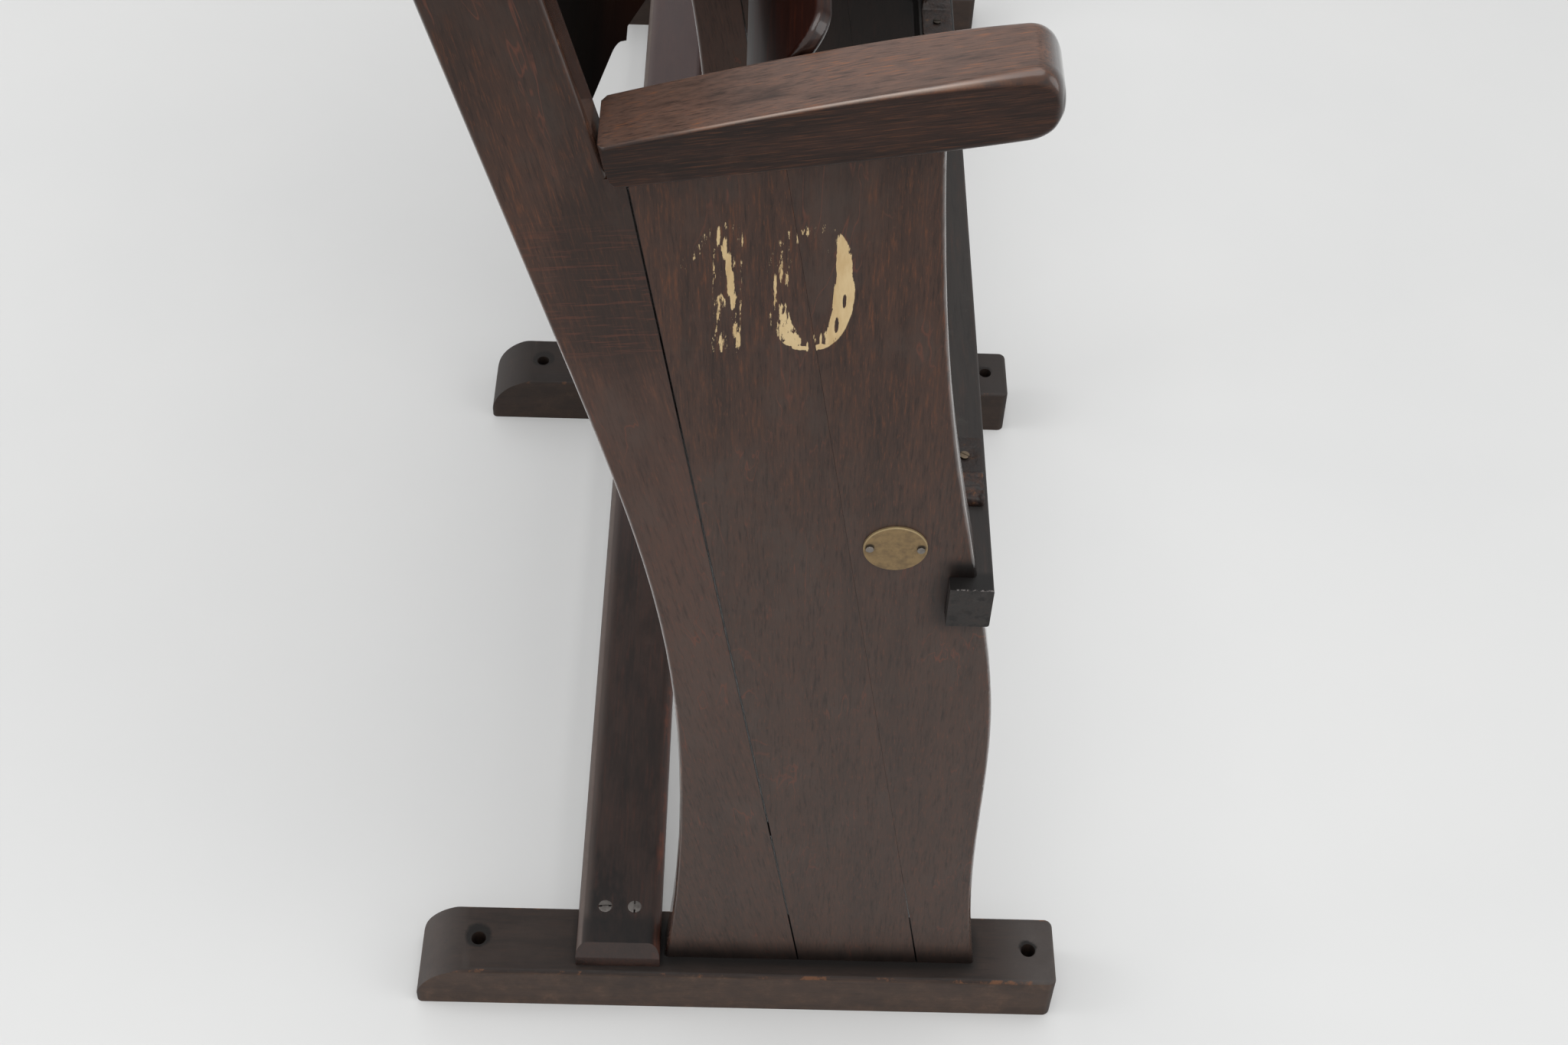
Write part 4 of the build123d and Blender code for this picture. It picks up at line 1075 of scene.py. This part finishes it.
def makeArmrest(side):
    look = armShape
    node = f"{side}_armrest"
    middle, outline = armOutline(node)
    work = bmesh.new()
    rings = []
    rear, nose = outline[0][0], outline[-1][0]
    for y, base, top, half in outline:
        along = (rear - y) / (rear - nose)
        swell = along ** look["roundPower"]
        ends = (look["topRound"], look["baseRound"])
        rounds = [(first + (last - first) * swell) * mm for first, last in ends]
        tuck = max(look["endRound"] * mm - (rear - y), 0) * look["endTuck"]
        top += (top - base) * look["thicken"] * along ** look["thickenPower"]
        points = armRing(half + look["widen"] * along * mm - tuck, base + tuck, top - tuck, *rounds)
        rings.append([work.verts.new((middle + x, y, z)) for x, z in points])
    skin(work, rings)
    mesh = smoothMesh(work, f"{side}WornArmrest", armWood)
    mesh.set_sharp_from_angle(angle=math.radians(look["sharpAngle"]))
    newPiece(f"{side}_worn_armrest", mesh, "frame", [node])
    print(side, "armrest:", len(mesh.polygons), "faces")


for side in ("left", "middle", "right"):
    makeArmrest(side)


# Leather bumpers on the front bar

bumperLook = dict(
    padLength=20.0, padThick=5.9, tabThick=1.9, step=4.0, endRound=2.2,
    endWidth=0.86, endThick=0.35, stations=92, around=48, boxiness=5.0,
    lump=1.7, tabLump=0.35, pinch=1.2, grainCount=0.17, fineCount=0.55, fine=0.35,
    tackHollow=0.9, tackReach=6.0, seed=3.0,
)


def addBumper(work, points, way, seed):
    # way is the side of the pad that the thin tab lies on, along X
    look = bumperLook
    low, high = (Vector([pick(p[i] for p in points) for i in range(3)]) / mm for pick in (min, max))
    length = high.x - low.x
    middleY, halfWidth = (low.y + high.y) / 2, (high.y - low.y) / 2
    tack = look["padLength"] + (length - look["padLength"]) / 2
    rings = []
    for station in range(look["stations"] + 1):
        along = length * station / look["stations"]
        x = low.x + along if way > 0 else high.x - along
        fromEnd = min(along, length - along, look["endRound"]) / look["endRound"]
        bulge = math.sqrt(1 - (1 - fromEnd) ** 2)
        wide, tall = (least + (1 - least) * bulge for least in (look["endWidth"], look["endThick"]))
        fall = min(max((along - look["padLength"] + look["step"] / 2) / look["step"], 0), 1)
        fall = fall * fall * (3 - 2 * fall)
        thick = look["padThick"] + (look["tabThick"] - look["padThick"]) * fall
        lump = look["lump"] + (look["tabLump"] - look["lump"]) * fall
        ring = []
        for step in range(look["around"]):
            turn = 2 * math.pi * step / look["around"]
            sides = (math.cos(turn), math.sin(turn))
            side, up = (math.copysign(abs(v) ** (2 / look["boxiness"]), v) for v in sides)
            wave = noise.fractal(Vector((along, side * 9, seed)) * look["grainCount"], 1.0, 2.0, 4)
            ripple = noise.noise(Vector((along, side * 9, up * 4 + seed)) * look["fineCount"])
            dent = lump * min(max(0.5 + wave * 0.75, 0), 1)
            dent += look["fine"] * (0.5 + ripple * 0.5) * (1 - fall * 0.6)
            half = halfWidth * wide - look["pinch"] * (0.5 + wave * 0.5) * (1 - fall * 0.7)
            y = middleY + side * half
            rise = thick * tall * (0.5 + 0.5 * up)
            z = rise - dent * max(up, 0) * rise / thick
            hollow = math.hypot(along - tack, y - middleY) / look["tackReach"]
            z -= look["tackHollow"] * max(up, 0) * math.exp(-hollow * hollow)
            ring.append(work.verts.new(Vector((x, y, low.z + max(z, 0))) * mm))
        rings.append(ring)
    skin(work, rings)


def makeBumpers(side):
    node = f"{side}_seat_bumpers"
    work = bmesh.new()
    solids = sorted(solidsOf(node), key=lambda points: min(p.x for p in points))
    for points, way in zip(solids, (1, -1)):
        addBumper(work, points, way, bumperLook["seed"] + way + len(side))
    mesh = smoothMesh(work, f"{side}LeatherBumpers", bumperLeather)
    newPiece(f"{side}_leather_bumpers", mesh, "frame", [node])
    print(side, "bumpers:", len(mesh.polygons), "faces")


for side in ("left", "right"):
    makeBumpers(side)


# Floor, light and camera

stageLook = dict(
    floorLow=(210, 211, 211), floorHigh=(218, 218, 217), shine=0.2, floorRough=0.7,
    seed=240.0, grains=dict(haze=(3, 0, 4.0, 0.62)), coats=[("floorHigh", 1, "haze")],
    # half the floor's width, and from where to where it runs into the backdrop, in metres
    floorHalf=30.0, farFrom=1.3, farFull=3.6,
    white=(1, 1, 1, 1), worldLight=0.62, worldSeen=0.86,
)
softLights = [
    # name, place, aimed at, width, watts
    ("overheadSoft", (-0.6, -0.2, 3.0), (-0.2, 0, 0.3), 2.6, 46),
    ("rearSoft", (-0.4, 2.6, 1.8), (-0.3, 0, 0.4), 1.8, 24),
    ("frontSoft", (-1.2, -2.6, 1.6), (-0.3, 0, 0.4), 1.8, 16),
    ("farSoft", (2.2, 0.2, 2.7), (-0.3, 0, 0.6), 1.8, 5),
]
view = dict(
    place=(-1.1777, 0.0036, 1.2262), turn=(40.6752, -1.8519, -89.5765),
    focalPixels=2844.0, pictureWidth=2048.0, sensor=36.0, clipStart=0.01,
)


def seenRays(sheet):
    # 1 for what the camera sees, also in a reflection or through glass
    path = sheet.add("ShaderNodeLightPath", out="Is Camera Ray")
    return path.upper(path.also("Is Glossy Ray")).upper(path.also("Is Transmission Ray"))


def makeFloor():
    half = stageLook["floorHalf"]
    mesh = bpy.data.meshes.new("studioFloor")
    corners = [(-half, -half, 0), (half, -half, 0), (half, half, 0), (-half, half, 0)]
    mesh.from_pydata(corners, [], [(0, 1, 2, 3)])
    finish = Finish("paleFloor", stageLook, Roughness=stageLook["floorRough"])
    finish.layCoats("floorLow")
    finish.link(**{"Base Color": finish.colour})
    # far from the bench the floor runs into the backdrop
    away = (finish.x ** 2 + finish.y ** 2) ** 0.5
    far = away.rise(stageLook["farFrom"], stageLook["farFull"]) * seenRays(finish)
    backdrop = {"Color": stageLook["white"], "Strength": stageLook["worldSeen"]}
    backdrop = finish.add("ShaderNodeEmission", {}, backdrop)
    surface = Wire(finish, finish.shader.outputs[0])
    blend = finish.add("ShaderNodeMixShader", {}, {0: far, 1: surface, 2: backdrop})
    finish.tree.links.new(blend.socket, finish.tree.nodes["surfaceEnd"].inputs["Surface"])
    mesh.materials.append(finish.material)
    linked("studioFloor", mesh)


def makeWorld():
    world = bpy.data.worlds.new("studioWorld")
    world.use_nodes = True
    sheet = Sheet(world.node_tree)
    sheet.tree.nodes.clear()
    strength = seenRays(sheet) * (stageLook["worldSeen"] - stageLook["worldLight"]) + stageLook["worldLight"]
    back = sheet.add("ShaderNodeBackground", {}, {"Color": stageLook["white"], "Strength": strength})
    sheet.add("ShaderNodeOutputWorld", {}, {"Surface": back}, out=None)
    bpy.context.scene.world = world


def makeLights():
    for name, where, target, width, watts in softLights:
        lamp = bpy.data.lights.new(name, "AREA")
        lamp.shape = "DISK"
        lamp.size = width
        lamp.energy = watts
        light = linked(name, lamp)
        light.location = where
        light.rotation_euler = (Vector(target) - Vector(where)).to_track_quat("-Z", "Y").to_euler()


def makeCamera():
    data = bpy.data.cameras.new("photoCamera")
    data.sensor_width = view["sensor"]
    data.lens = view["focalPixels"] / view["pictureWidth"] * view["sensor"]
    data.clip_start = view["clipStart"]
    camera = linked("photoCamera", data)
    turn = Euler([math.radians(angle) for angle in view["turn"]])
    camera.matrix_world = Matrix.LocRotScale(Vector(view["place"]), turn, None)
    bpy.context.scene.camera = camera


makeFloor()
makeWorld()
makeLights()
makeCamera()
bpy.context.scene.view_settings.view_transform = "Standard"
print("stage, lights and camera set")
